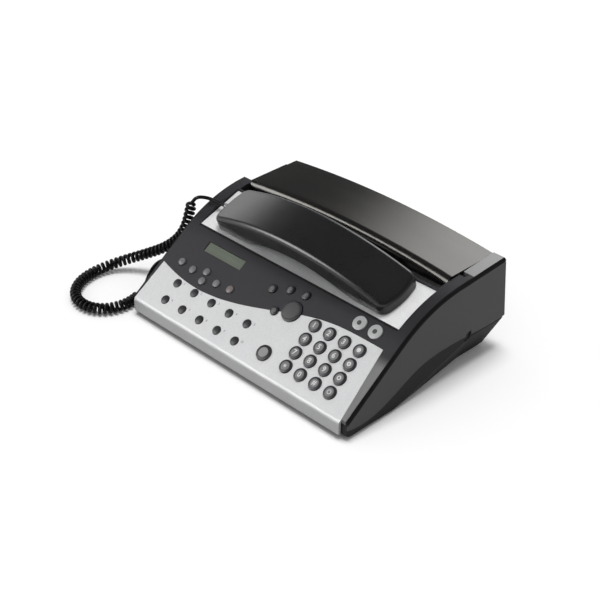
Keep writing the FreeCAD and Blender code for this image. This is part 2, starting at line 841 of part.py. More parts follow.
def make_handset():
    shell = handset_body(0).cut(handset_body(handset_wall))
    middle, end = handset_seam_heights()
    reach = handset_half() + cut_past
    upper = handset_band(arch_edges(middle, end, reach), arch_edges(middle + cut_far, end + cut_far, reach))
    back = shell.common(upper)
    face = shell.cut(upper)
    cups = []
    holes = []
    for x, v in cup_centres():
        cup = Part.makeCylinder(cup_radius, cup_depth + cut_through, Vector(x, v, -cup_depth))
        roof = underside_edges(handset_low_mid + cup_root, handset_low_end + cup_root, reach)
        deep = underside_edges(handset_low_mid - cut_far, handset_low_end - cut_far, reach)
        cups.append(cup.common(handset_band(deep, roof)))
        spots = [(0.0, 0.0)] + [(cup_ring, 2 * math.pi * i / cup_holes) for i in range(cup_holes)]
        for ring, turn in spots:
            foot = Vector(x + ring * math.cos(turn), v + ring * math.sin(turn), -cut_through)
            holes.append(Part.makeCylinder(cup_hole, cut_through + handset_low_mid, foot))
    face = fused([face] + cups).cut(Part.makeCompound(holes))
    return placed(back, cradle_place), placed(face, cradle_place)


def hook_top():
    """Just under the resting handset."""
    from_end = hook_x - hook_size[0] / 2 - handset_middle() + handset_arch_half
    turn = 2 * math.atan((handset_low_mid - handset_low_end) / handset_arch_half)
    small = handset_arch_half / math.sin(turn) * (1 - handset_arch_share)
    along = min(from_end, small * math.sin(turn))
    return handset_low_end + small - math.sqrt(small ** 2 - along ** 2) - seat_gap


def make_hook_lever():
    across, along = [size / 2 for size in hook_size]
    v = handset_front + handset_depth / 2
    top = hook_top()
    tab = box((hook_x - across, hook_x + across), (v - along, v + along), (top - hook_stem, top))
    upright = [edge for edge in tab.Edges if edge.BoundBox.ZMin > top - 0.01 and edge.BoundBox.YLength > 1]
    tab = tab.makeFillet(hook_round, upright)
    wide = across + hook_collar
    deep = along + hook_collar
    collar = box((hook_x - wide, hook_x + wide), (v - deep, v + deep),
                 (top - hook_stem - hook_collar_thick, top - hook_stem))
    return placed(tab.fuse(collar), cradle_place)


# Paper cover
def under_crown(y, low, thick):
    """A block over the cover's length up to its crowned top, or to the underside of a top of that thickness."""
    radius = (cover_half ** 2 + cover_crown ** 2) / (2 * cover_crown)
    middle = Vector(0, cover_front, cover_top + cover_crown - radius)
    along = Vector(0, cover_rear - cover_front, -cover_fall)
    back = along * (cut_far / along.Length)
    barrel = Part.makeCylinder(radius - thick, 2 * cut_far, middle - back, along)
    barrel.rotate(middle, along, 180)
    half = cover_half + thick
    return box((-half, half), y, (low, cover_top + cover_crown + cut_past)).common(barrel)


def top_edge(solid, y):
    """The edge along the crown of a block at its front or its rear."""
    crowned = [edge for edge in solid.Edges if edge.BoundBox.ZMax > cover_top - cover_thick]
    across = [edge for edge in crowned if edge.BoundBox.XLength > cover_half]
    return [edge for edge in across if abs(edge.BoundBox.Center.y - y) < 0.5]


def make_paper_cover():
    behind = cover_front + cover_lip_thick
    ahead = cover_rear - cover_edge
    skirt_low = cover_top - cover_fall - cover_skirt
    block = under_crown((cover_front, cover_rear), cover_top - cover_lip, 0)
    skirt = box((-cover_half, cover_half), (ahead, cover_rear), (skirt_low, cover_top - cover_lip))
    block = block.makeFillet(cover_round, top_edge(block, cover_front))
    block = block.makeFillet(cover_edge / 2, top_edge(block, cover_rear))
    hollow = under_crown((behind, ahead), cover_top - cover_lip - cut_past, cover_thick)
    hollow = hollow.makeFillet(cover_round - cover_thick, top_edge(hollow, behind))
    solid = block.cut(hollow).fuse(skirt)
    ear_width, ear_drop = hinge_ear
    low = hinge_z - ear_drop
    high = cover_top - cover_thick / 2
    parts = [solid]
    for side in (-1, 1):
        start = Vector(side * (cover_half - ear_width), hinge_y, hinge_z)
        end = Vector(side * (cover_half + hinge_length), hinge_y, hinge_z)
        parts.append(rod(hinge_radius, start, end))
        ear = [(hinge_y - 2 * hinge_radius, high), (hinge_y - 2 * hinge_radius, hinge_z),
               (hinge_y - hinge_radius, low), (cover_rear - 1, low), (cover_rear - 1, high)]
        parts.append(prism_x(ear, sorted((side * (cover_half - ear_width), side * cover_half))))
    return fused(parts)


# Gears and rollers
def involute(angle):
    return math.tan(angle) - angle


def gear(teeth, centre, x, turn, bore):
    """A spur gear on an axis along x, with a tooth centre at the angle turn from +y towards +z."""
    pitch = teeth * gear_module / 2
    pressure = math.radians(pressure_angle)
    base = pitch * math.cos(pressure)
    tip = pitch + gear_addendum * gear_module
    root = pitch - gear_dedendum * gear_module
    half = math.pi / (2 * teeth) - gear_backlash / (2 * pitch)

    def flank(radius):
        lean = math.acos(min(1.0, base / max(radius, base)))
        return half + involute(pressure) - involute(lean)

    def point(radius, angle):
        return Vector(x[0], centre[0] + radius * math.cos(angle), centre[1] + radius * math.sin(angle))

    start = max(root, base)
    climb = [root, start, (start + tip) / 2, tip]
    tooth = [(radius, -1) for radius in climb] + [(radius, 1) for radius in reversed(climb)]
    points = []
    for i in range(teeth):
        angle = math.radians(turn) + 2 * math.pi * i / teeth
        for radius, side in tooth:
            spot = point(radius, angle + side * flank(radius))
            if not points or (spot - points[-1]).Length > 0.01:
                points.append(spot)
    solid = polygon(points).extrude(Vector(x[1] - x[0], 0, 0))
    hub = rod(bore, Vector(x[0] - 1, centre[0], centre[1]), Vector(x[1] + 1, centre[0], centre[1]))
    return solid.cut(hub)


def gear_distance():
    return (gear_teeth + pinion_teeth) * gear_module / 2


def idler_place():
    """Where the idler meets both big gears, below the line between them."""
    gap = math.hypot(platen_y - feed_y, platen_z - feed_z)
    away = math.sqrt(gear_distance() ** 2 - gap ** 2 / 4)
    along = ((platen_y - feed_y) / gap, (platen_z - feed_z) / gap)
    return ((platen_y + feed_y) / 2 + away * along[1], (platen_z + feed_z) / 2 - away * along[0])


def pinion_place():
    turn = math.radians(pinion_turn)
    return (feed_y + gear_distance() * math.cos(turn), feed_z + gear_distance() * math.sin(turn))


def meshed(first, first_turn, first_teeth, second, second_teeth):
    """The turn that sets a gap of the second gear over the tooth of the first."""
    toward = math.degrees(math.atan2(second[1] - first[1], second[0] - first[0]))
    step = 360.0 / first_teeth
    off = (toward - first_turn) / step
    phase = off - math.floor(off)
    return toward + 180.0 + (phase + 0.5) * 360.0 / second_teeth


def gear_turns():
    platen = (platen_y, platen_z)
    feed = (feed_y, feed_z)
    idler = meshed(platen, 0.0, gear_teeth, idler_place(), pinion_teeth)
    feeding = meshed(idler_place(), idler, pinion_teeth, feed, gear_teeth)
    pinion = meshed(feed, feeding, gear_teeth, pinion_place(), pinion_teeth)
    return idler, feeding, pinion


def gear_x():
    end = -frame_x - frame_thick - gear_gap
    return (end - gear_width, end)


def make_roller(y, z, rubber, turn):
    """A rubber roller on a steel shaft, with its gear on the left end."""
    outer = gear_x()[0] - shaft_past
    shaft = rod(shaft_radius, Vector(outer, y, z), Vector(frame_x + frame_thick + shaft_past, y, z))
    sleeve = rod(roller_radius, Vector(rubber[0], y, z), Vector(rubber[1], y, z)).cut(shaft)
    wheel = gear(gear_teeth, (y, z), gear_x(), turn, shaft_radius)
    return Part.makeCompound([shaft, sleeve, wheel])


def make_paper_roll():
    start = Vector(-roll_half, roll_y, roll_z)
    end = Vector(roll_half, roll_y, roll_z)
    return rod(roll_radius, start, end).cut(rod(core_radius, start, end))


def make_mechanism_frame():
    front = feed_y - frame_front
    over = platen_z + frame_over
    outline = [(front, inner_floor), (frame_end_y, inner_floor),
               (frame_rear_y, rear_knee_z + roller_radius / 2), (frame_rear_y, roll_z),
               (roll_y + roller_radius, roll_z + 1.25 * roller_radius),
               (platen_y + 2 * roller_radius, over), (platen_y - roller_radius, over),
               (feed_y - 1.25 * roller_radius, feed_z + frame_over), (front, feed_z - roller_radius / 4)]
    idler = idler_place()
    pinion = pinion_place()
    parts = [box((-frame_x, frame_x), (front, frame_end_y), (inner_floor, inner_floor + frame_thick))]
    for side in (-1, 1):
        x = sorted((side * frame_x, side * (frame_x + frame_thick)))
        cheek = prism_x(outline, x)
        for y, z in ((platen_y, platen_z), (feed_y, feed_z)):
            cheek = cheek.cut(rod(shaft_radius + shaft_fit, Vector(x[0] - 1, y, z), Vector(x[1] + 1, y, z)))
        if side < 0:
            cheek = cheek.cut(rod(motor_shaft + 1, Vector(x[0] - 1, *pinion), Vector(x[1] + 1, *pinion)))
        stub_start = Vector(side * frame_x, roll_y, roll_z)
        stub_end = Vector(side * (roll_half - core_stub), roll_y, roll_z)
        parts += [cheek, rod(core_radius - core_fit, stub_start, stub_end)]
    parts.append(rod(motor_shaft, Vector(gear_x()[0] - 1, *idler), Vector(-frame_x - 1, *idler)))
    head_y = platen_y - roller_radius - head_gap - head_size[0]
    sensor_y = feed_y - roller_radius - head_gap - sensor_size[0]
    half = frame_x + beam_tuck
    for y, z, (low, high) in ((head_y, platen_z, head_beam), (sensor_y, feed_z, sensor_beam)):
        parts.append(box((-half, half), (y - beam_thick, y), (z + low, z + high)))
    return fused(parts)


def make_thermal_head():
    y = platen_y - roller_radius - head_gap - head_size[0]
    half = head_size[1] / 2
    return box((-platen_half, platen_half), (y, y + head_size[0]), (platen_z - half, platen_z + half))


def make_image_sensor():
    y = feed_y - roller_radius - head_gap - sensor_size[0]
    half = sensor_size[1] / 2
    return box(feed_rubber, (y, y + sensor_size[0]), (feed_z - half, feed_z + half))


def make_drive_motor():
    pinion = pinion_place()
    can = rod(motor_radius, Vector(-frame_x, *pinion), Vector(-frame_x + motor_length, *pinion))
    shaft = rod(motor_shaft, Vector(gear_x()[0] - 1, *pinion), Vector(-frame_x + 1, *pinion))
    return can.fuse(shaft)


# Boards, loudspeaker, feet and screws
def make_key_board():
    top = board_top()
    return placed(box((-board_x, board_x), board_s, (top - board_thick, top)), panel_place)


def make_display():
    top = -display_sunk
    body = box((display_x[0] - display_margin, display_x[1] + display_margin),
               (display_s[0] - display_margin, display_s[1] + display_margin), (-wall - display_depth, -wall))
    glass = box((display_x[0] + trim_clear, display_x[1] - trim_clear),
                (display_s[0] + trim_clear, display_s[1] - trim_clear), (-wall - 0.5, top))
    return placed(body.fuse(glass), panel_place)


def make_main_board():
    bottom = inner_floor + main_board_post
    return box(main_board_x, main_board_y, (bottom, bottom + board_thick))


def make_loudspeaker():
    foot = Vector(speaker[0], speaker[1], inner_floor)
    rim = Part.makeCylinder(speaker_radius, speaker_rim, foot)
    basket = Part.makeCone(speaker_radius - 2, speaker_magnet, speaker_height - speaker_rim,
                           foot + Vector(0, 0, speaker_rim))
    hollow = Part.makeCone(speaker_radius - 3, speaker_magnet / 2, speaker_height - speaker_rim - 1, foot)
    return rim.fuse(basket).cut(hollow).removeSplitter()


def make_feet():
    places = [Vector(x, y, 0) for x, y in foot_places]
    return Part.makeCompound([Part.makeCylinder(foot_radius, foot_height, place) for place in places])


def make_screws():
    shapes = []
    for (x, y), top in ((front_posts, front_post_top), (rear_posts, rear_post_top)):
        for side in (-1, 1):
            seat = Vector(side * x, y, top - screw_seat)
            head = rod(screw_head, seat - Vector(0, 0, screw_head_height), seat)
            shapes.append(head.fuse(rod(screw_radius, seat, seat + Vector(0, 0, screw_length))))
    return Part.makeCompound(shapes)


# Cord and plugs
def rounded_route(points):
    """Straight runs joined by tangent arcs as large as the runs allow, as points about 0.25 mm apart."""
    spots = [Vector(*p) for p in points]
    path = [spots[0]]
    radii = []
    for before, corner, after in zip(spots, spots[1:], spots[2:]):
        into = (corner - before).normalize()
        out = (after - corner).normalize()
        turn = into.getAngle(out)
        back = 0.45 * min((corner - before).Length, (after - corner).Length)
        radius = back / math.tan(turn / 2)
        radii.append(radius)
        start = corner - into * back
        across = (out - into * into.dot(out)).normalize()
        centre = start + across * radius
        steps = max(2, math.ceil(radius * turn / 0.25))
        for i in range(steps + 1):
            angle = turn * i / steps
            path.append(centre - across * (radius * math.cos(angle)) + into * (radius * math.sin(angle)))
    path.append(spots[-1])
    return path, radii


class Guide:
    """The cord's middle line with a frame that doesn't twist, found by its length."""

    def __init__(self, path):
        self.points = path
        self.along = [0.0]
        for a, b in zip(path, path[1:]):
            self.along.append(self.along[-1] + (b - a).Length)
        self.length = self.along[-1]
        tangents = [(b - a).normalize() for a, b in zip(path, path[1:])]
        self.tangents = tangents + tangents[-1:]
        side = self.tangents[0].cross(Vector(0, 0, 1)).normalize()
        self.sides = [side]
        for tangent in self.tangents[1:]:
            side = (side - tangent * side.dot(tangent)).normalize()
            self.sides.append(side)

    def at(self, s):
        low, high = 0, len(self.along) - 1
        while high - low > 1:
            middle = (low + high) // 2
            low, high = (middle, high) if self.along[middle] <= s else (low, middle)
        span = self.along[high] - self.along[low]
        share = (s - self.along[low]) / span if span else 0.0
        spot = self.points[low] + (self.points[high] - self.points[low]) * share
        tangent = self.tangents[low]
        side = self.sides[low]
        return spot, side, tangent.cross(side)


def cord_point(guide, s):
    """The wire's middle: on the guide at the tails and winding round it between them."""
    spot, side, up = guide.at(min(max(s, 0.0), guide.length))
    last = guide.length - curl_end_tail
    swell = min(max((s - curl_start) / curl_pitch, 0.0), max((last - s) / curl_pitch, 0.0), 1.0)
    radius = curl_radius * swell * swell * (3 - 2 * swell)
    turn = 2 * math.pi * (s - curl_start) / curl_pitch
    return spot + side * (radius * math.cos(turn)) + up * (radius * math.sin(turn))


def cord_tangent(guide, s):
    step = 0.05
    return (cord_point(guide, s + step) - cord_point(guide, s - step)).normalize()


def biarc(a, ta, b, tb):
    """Two arcs that leave a along ta and reach b along tb, or one line where they are in line."""
    chord = b - a
    if (chord.normalize() - ta).Length < 1e-4 and (ta - tb).Length < 1e-4:
        return [line(a, b)]
    chord = b - a
    both = ta + tb
    bend = 2 * (1 - ta.dot(tb))
    slope = chord.dot(both)
    if bend < 1e-9:
        reach = chord.dot(chord) / (4 * chord.dot(tb))
    else:
        reach = (-slope + math.sqrt(slope ** 2 + bend * chord.dot(chord))) / bend
    first = a + ta * reach
    second = b - tb * reach
    join = (first + second) * 0.5
    edges = []
    for start, knee, end in ((a, first, join), (join, second, b)):
        foot = (start + end) * 0.5
        half = (end - start).Length / 2
        top = foot + (knee - foot) * (half / (reach + half))
        if (top - foot).Length < 1e-5:
            edges.append(line(start, end))
        else:
            edges.append(arc(start, top, end))
    return edges


def self_gap(guide):
    """The least gap between the wire's turns, measured on points along its middle."""
    count = int(guide.length / 0.2)
    spots = [cord_point(guide, guide.length * i / count) for i in range(count + 1)]
    run = [0.0]
    for a, b in zip(spots, spots[1:]):
        run.append(run[-1] + (b - a).Length)
    turn = 2 * math.pi * curl_radius
    least = 1e9
    for i, spot in enumerate(spots):
        for j in range(i + 1, len(spots)):
            apart = run[j] - run[i]
            if apart > 4 * turn:
                break
            if apart > 0.6 * turn:
                least = min(least, (spots[j] - spot).Length)
    return least - wire


def make_cord():
    path, radii = rounded_route(cord_route)
    guide = Guide(path)
    last = guide.length - curl_end_tail
    turns = int((last - curl_start) / curl_pitch)
    print("cord radii", [round(r, 1) for r in radii])
    print("cord middle line %.1f, curls %d, least gap %.2f" % (guide.length, turns, self_gap(guide)))
    stations = [0.0, wire]
    tail_step = 3.0
    count = math.ceil((curl_start - wire) / tail_step)
    stations += [wire + (curl_start - wire) * (i + 1) / count for i in range(count)]
    halves = round((last - curl_start) / (curl_pitch / 2))
    stations += [curl_start + (last - curl_start) * (i + 1) / halves for i in range(halves)]
    end = guide.length - wire
    count = math.ceil((end - last) / tail_step)
    stations += [last + (end - last) * (i + 1) / count for i in range(count)]
    stations.append(guide.length)
    edges = []
    start_along = guide.tangents[0]
    end_along = guide.tangents[-1]
    spots = [cord_point(guide, s) for s in stations]
    lines = [cord_tangent(guide, s) for s in stations]
    lines[0] = lines[1] = start_along
    lines[-1] = lines[-2] = end_along
    for i in range(len(stations) - 1):
        edges += biarc(spots[i], lines[i], spots[i + 1], lines[i + 1])
    spine = Part.Wire(edges)
    ring = Part.Wire([Part.makeCircle(wire / 2, spots[0], start_along)])
    tube = spine.makePipeShell([ring], True, False)
    wanted = math.pi * wire ** 2 / 4 * spine.Length
    print("cord wire %.1f, tube volume over section times length %.4f" % (spine.Length, tube.Volume / wanted))
    return tube


def make_plugs(back, face):
    """The plugs at the cord's ends, each cut off square where the wire leaves it."""
    outward = Vector(-1, 0, 0)
    start, after = [Vector(*place) for place in cord_route[:2]]
    before, end = [Vector(*place) for place in cord_route[-2:]]
    inside = Vector(handset_left + handset_end_bulge / 2, start.y, start.z)
    tip = wire / 2 + boot_lip
    boot = Part.makeCone(boot_radius, tip, boot_length, inside, outward)
    boot = boot.cut(back).cut(face).cut(rod(2 * boot_radius, start, after))
    handset_plug = min(boot.Solids, key=lambda solid: solid.BoundBox.XMin)
    y, z = handset_jack
    front = -half_width - plug_out
    block = box((front, -half_width + plug_in), (y - plug_size[0] / 2, y + plug_size[0] / 2),
                (z - plug_size[1] / 2, z + plug_size[1] / 2))
    relief = Part.makeCone(boot_radius, tip, boot_length, Vector(front, y, z), outward)
    relief = relief.cut(rod(2 * boot_radius, end, before))
    return handset_plug, block.fuse(relief)


def main():
    os.makedirs("parts", exist_ok=True)
    outer = casing(0)
    inner = casing(wall)
    idler_turn, feed_turn, pinion_turned = gear_turns()
    nodes = make_keys()
    nodes["base_housing"] = make_base_housing(outer, inner)
    nodes["upper_housing"] = make_upper_housing(outer, inner)
    nodes["faceplate"] = make_faceplate()
    nodes["cradle_plate"] = make_cradle_plate()
    nodes["paper_cover"] = make_paper_cover()
    nodes["handset_back_shell"], nodes["handset_face_shell"] = make_handset()
    nodes["hook_lever"] = make_hook_lever()
    nodes["display_module"] = make_display()
    nodes["key_board"] = make_key_board()
    nodes["main_board"] = make_main_board()
    nodes["loudspeaker"] = make_loudspeaker()
    nodes["mechanism_frame"] = make_mechanism_frame()
    nodes["platen_roller"] = make_roller(platen_y, platen_z, (-platen_half, platen_half), 0.0)
    nodes["feed_roller"] = make_roller(feed_y, feed_z, feed_rubber, feed_turn)
    bore = motor_shaft + shaft_fit
    nodes["idler_gear"] = gear(pinion_teeth, idler_place(), gear_x(), idler_turn, bore)
    nodes["motor_pinion"] = gear(pinion_teeth, pinion_place(), gear_x(), pinion_turned, bore)
    nodes["drive_motor"] = make_drive_motor()
    nodes["thermal_head"] = make_thermal_head()
    nodes["image_sensor"] = make_image_sensor()
    nodes["paper_roll"] = make_paper_roll()
    nodes["modular_jacks"] = make_modular_jacks(inner)
    nodes["power_inlet"] = make_power_inlet(inner)
    nodes["rubber_feet"] = make_feet()
    nodes["housing_screws"] = make_screws()
    handset = (nodes["handset_back_shell"], nodes["handset_face_shell"])
    nodes["cord_plug_handset"], nodes["cord_plug_base"] = make_plugs(*handset)
    nodes["handset_cord"] = make_cord()
    for name, shape in nodes.items():
        shape.exportStep("parts/%s.step" % name)
        print(name, len(shape.Solids), shape.isValid(), round(shape.Volume, 1))


if __name__ == "__main__":
    main()
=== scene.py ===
"""Desk fax machine with a corded handset: the finishes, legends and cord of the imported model."""

import json
import math

import bpy
import numpy as np
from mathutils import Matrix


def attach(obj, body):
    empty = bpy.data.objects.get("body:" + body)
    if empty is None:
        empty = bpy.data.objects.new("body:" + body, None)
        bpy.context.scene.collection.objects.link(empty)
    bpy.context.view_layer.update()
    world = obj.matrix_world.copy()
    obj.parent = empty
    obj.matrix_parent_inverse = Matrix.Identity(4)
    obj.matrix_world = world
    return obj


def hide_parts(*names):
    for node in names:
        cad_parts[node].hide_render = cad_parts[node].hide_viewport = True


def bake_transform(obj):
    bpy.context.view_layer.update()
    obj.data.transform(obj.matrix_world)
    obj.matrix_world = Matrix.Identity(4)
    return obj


bl_info = {
    "name": "Desk fax machine",
    "version": (1, 0, 0),
    "blender": (4, 5, 0),
    "location": "3D View > Sidebar > Fax",
    "description": "Finishes, key legends and the curly cord of a desk fax machine",
    "category": "Object",
}

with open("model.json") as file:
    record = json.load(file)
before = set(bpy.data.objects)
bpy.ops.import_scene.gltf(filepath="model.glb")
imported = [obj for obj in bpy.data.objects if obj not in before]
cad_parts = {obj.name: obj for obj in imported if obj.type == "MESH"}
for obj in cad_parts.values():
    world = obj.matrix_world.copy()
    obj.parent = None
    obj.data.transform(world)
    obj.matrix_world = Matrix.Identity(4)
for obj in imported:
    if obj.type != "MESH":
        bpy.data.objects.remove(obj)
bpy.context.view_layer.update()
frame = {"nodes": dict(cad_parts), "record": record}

# The sloping key panel, in metres: x across, s up the slope from its front edge, h out of it
PANEL_ANGLE = math.radians(35.7)
PANEL_Y = -0.099
PANEL_Z = 0.019
KEY_HEIGHT = 0.002
KEY_CROWN = 0.0007

# Keys on the panel: x, s and radius. KEY_MARKS_AND_HIGHLIGHTS gives the discs on them: radius and tone; on
# the start, clear and menu keys these are painted highlights, and on the stop and pale keys they are marks
NUMBER_X = 0.0534
NUMBER_S = 0.0575
NUMBER_PITCH_X = 0.0176
NUMBER_PITCH_S = 0.0144
NUMBER_RADIUS = 0.006
TOUCH_X = -0.1025
TOUCH_PITCH = 0.0235
TOUCH_ROWS = (0.0292, 0.0104)
MARKED_KEYS = {
    "start_key": (0.0258, 0.0147, 0.00725),
    "stop_key": (0.0239, 0.0587, 0.010),
    "clear_key": (0.0080, 0.0514, 0.004),
    "pale_key_1": (0.0901, 0.0783, 0.0066),
    "pale_key_2": (0.1083, 0.0780, 0.0066),
    "menu_key_1": (-0.0079, 0.0680, 0.004),
    "menu_key_2": (0.0091, 0.0750, 0.004),
    "menu_key_3": (0.0268, 0.0770, 0.004),
}
KEY_MARKS_AND_HIGHLIGHTS = {
    # Painted highlights: the grey centres of the start, clear and menu keys
    "start_key": (0.0048, 0.28),
    "stop_key": (0.0086, 0.06),
    "clear_key": (0.0024, 0.11),
    "menu_key_1": (0.0024, 0.11),
    "menu_key_2": (0.0024, 0.11),
    "menu_key_3": (0.0024, 0.11),
    "pale_key_1": (0.0022, 0.05),
    "pale_key_2": (0.0022, 0.05),
}
NUMBER_LEGENDS = ("123", "456", "789", "*0#")

# Printing: how far the digits are thickened and sunk, the rings on the last column of number keys by row,
# and the size, thickening and shift of the numbers beside the one-touch keys
DIGIT_WEIGHT = 0.00012
DIGIT_DEPTH = 0.0002
COLUMN_MARKS = (0.0004, 0.0007, 0.0011, 0.0015)
COLUMN_MARK_RADIUS = 0.0021
# The hole in the middle of each number key's painted highlight
KEY_HIGHLIGHT_HOLE = 0.0005
TOUCH_NUMBER_SIZE = 0.0034
TOUCH_NUMBER_WEIGHT = 0.00004
TOUCH_NUMBER_SHIFT = (0.0075, 0.0028)

# The display's lower left corner on the panel, its characters' pitch and gaps, and its dots' pitch and gap
SCREEN_X = -0.101
SCREEN_S = 0.0680
CELL_PITCH = (0.0029, 0.0046)
CELL_GAP = (0.0005, 0.0008)
DOT_PITCH = 0.00058
DOT_GAP = 0.00012

# The cord's middle line from the handset, over the left rail, round on the table and back to the casing
CORD_ROUTE = (
    (-0.1150, -0.0034, 0.0844),
    (-0.1310, -0.0054, 0.0856),
    (-0.1380, -0.0092, 0.0868),
    (-0.1450, -0.0130, 0.0854),
    (-0.1494, -0.0156, 0.0784),
    (-0.1498, -0.0186, 0.0676),
    (-0.1506, -0.0226, 0.0552),
    (-0.1554, -0.0284, 0.0426),
    (-0.1666, -0.0354, 0.0310),
    (-0.1824, -0.0440, 0.0212),
    (-0.1980, -0.0550, 0.0132),
    (-0.2086, -0.0680, 0.0080),
    (-0.2130, -0.0830, 0.0059),
    (-0.2116, -0.0990, 0.0059),
    (-0.2058, -0.1140, 0.0059),
    (-0.1950, -0.1260, 0.0059),
    (-0.1816, -0.1320, 0.0059),
    (-0.1660, -0.1316, 0.0059),
    (-0.1535, -0.1235, 0.0059),
    (-0.1472, -0.1106, 0.0059),
    (-0.1464, -0.0960, 0.0059),
    (-0.1496, -0.0830, 0.0064),
    (-0.1550, -0.0724, 0.0090),
    (-0.1600, -0.0636, 0.0146),
    (-0.1610, -0.0548, 0.0218),
    (-0.1556, -0.0492, 0.0274),
    (-0.1485, -0.0475, 0.0295),
)
CORD_LEAD = 0.038
CORD_TAIL = 0.052
CORD_STEPS = 1900
CORD_UP = (0.3, -0.2, 0.93)

# The paper roll's axle: y and z
ROLL_AXLE = (0.062, 0.0545)

# The base's skirt, which takes painted shade: its half width and its top
SKIRT_X = 0.1372
SKIRT_Z = 0.0335

# The top skin: where its side seams start, its right border beside the keys, the rail behind the notch, which
# carries a painted highlight, and the groove in front of the cradle
SEAM_X = 0.1357
BORDER_X = 0.126
BORDER_Y = (-0.058, -0.046)
RAIL_X = 0.124
RAIL_Y = 0.0568
GROOVE_X = 0.125
GROOVE_Y = (-0.0276, -0.0250)

# Windows that reflections show: direction, angles of the edge and the core in degrees, and brightness
WINDOWS = (
    ((-0.30, 0.80, 0.56), 21.0, 0.5, 6.6),
    ((-0.90, 0.30, 0.33), 14.0, 5.0, 2.6),
    ((-0.60, -0.68, 0.43), 24.0, 12.0, 12.0),
)

# Stage: the heights where the white horizon starts and ends, the floor's half width and level,
# the lamp's tilt and the camera sensor's width in millimetres
HORIZON = (0.24, 0.12)
FLOOR_REACH = 4.0
FLOOR_Z = -0.0002
SUN_TILT = (math.radians(-4), math.radians(-2), 0.0)
SENSOR = 36.0

# Moulded plastic: the size of its slow clouds of tone and gloss, and of the casing's grain
CLOUD = 0.035
SHELL_GRAIN = 0.0007


def on_panel(points):
    """Carries an array of (x, s, h) to the frame: s goes up the panel's slope and h stands square to it."""
    cosine = math.cos(PANEL_ANGLE)
    sine = math.sin(PANEL_ANGLE)
    x = points[..., 0]
    s = points[..., 1]
    h = points[..., 2]
    return np.stack([x, PANEL_Y + s * cosine - h * sine, PANEL_Z + s * sine + h * cosine], axis=-1)


def on_crown(flat, key):
    """Lays an array of (u, v, rise) on a key's top, which drops like a sphere with the key's crown."""
    x, s, radius = key
    sphere = (radius * radius + KEY_CROWN * KEY_CROWN) / (2 * KEY_CROWN)
    reach = flat[..., 0] ** 2 + flat[..., 1] ** 2
    drop = sphere - np.sqrt(np.maximum(sphere * sphere - reach, 0.0))
    placed = np.stack([x + flat[..., 0], s + flat[..., 1], KEY_HEIGHT - drop + flat[..., 2]], axis=-1)
    return on_panel(placed)


def add_piece(name, points, faces, material, body, smooth=True):
    """Makes one mesh object from arrays of points and faces, with its place in its mesh, riding on a body."""
    mesh = bpy.data.meshes.new(name)
    mesh.from_pydata(np.asarray(points).reshape(-1, 3).tolist(), [], [list(face) for face in faces])
    mesh.polygons.foreach_set("use_smooth", np.full(len(mesh.polygons), smooth))
    mesh.materials.append(material)
    mesh.update()
    piece = bpy.data.objects.new(name, mesh)
    bpy.context.scene.collection.objects.link(piece)
    if body:
        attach(piece, body)
    return piece


def tube_faces(rings, sides):
    """Quads between neighbouring rings of a grid that closes round its sides, with a cap on each end."""
    ring = np.arange(rings - 1)[:, None] * sides
    side = np.arange(sides)[None, :]
    after = (side + 1) % sides
    quads = np.stack([ring + side, ring + after, ring + sides + after, ring + sides + side], axis=-1)
    last = (rings - 1) * sides
    caps = [list(range(sides))[::-1], list(range(last, last + sides))]
    return quads.reshape(-1, 4).tolist() + caps


def mesh_points(mesh):
    """A mesh's vertex places as an array."""
    places = np.empty(len(mesh.vertices) * 3)
    mesh.vertices.foreach_get("co", places)
    return places.reshape(-1, 3)


def outline_of(curve):
    """The mesh of a curve or text, as points and faces, with the curve removed again."""
    holder = bpy.data.objects.new(curve.name, curve)
    mesh = bpy.data.meshes.new_from_object(holder)
    points = mesh_points(mesh)
    faces = [tuple(face.vertices) for face in mesh.polygons]
    bpy.data.objects.remove(holder)
    bpy.data.meshes.remove(mesh)
    bpy.data.curves.remove(curve)
    return points, faces


def lettering(words, size, weight, thickness):
    """Thick letters of the built-in font, centred on their own box with their faces at no height."""
    curve = bpy.data.curves.new("lettering", "FONT")
    curve.body = words
    curve.size = size
    curve.offset = weight
    curve.extrude = thickness
    curve.resolution_u = 3
    points, faces = outline_of(curve)
    middle = (points.min(axis=0) + points.max(axis=0)) / 2
    middle[2] = thickness
    return points - middle, faces


def lens(inner, outer, thickness, sides=40, rings=6):
    """A flat disc or ring of (u, v, rise): a closed profile of radius and rise carried round a circle."""
    radius = np.linspace(outer, inner, rings)
    rise = np.full(rings, thickness)
    radius = np.concatenate([[inner], [outer], radius])
    rise = np.concatenate([[-thickness], [-thickness], rise])
    angle = np.linspace(0, 2 * math.pi, sides, endpoint=False)
    u = radius[:, None] * np.cos(angle)[None, :]
    v = radius[:, None] * np.sin(angle)[None, :]
    return np.stack([u, v, np.broadcast_to(rise[:, None], u.shape)], axis=-1)


def lens_faces(points, is_ring):
    """Faces of a lens: a ring closes on itself, and a disc is capped at both ends."""
    rings, sides = points.shape[:2]
    faces = tube_faces(rings, sides)
    if not is_ring:
        return faces
    last = (rings - 1) * sides
    joined = [[last + i, last + (i + 1) % sides, (i + 1) % sides, i] for i in range(sides)]
    return faces[:-2] + joined


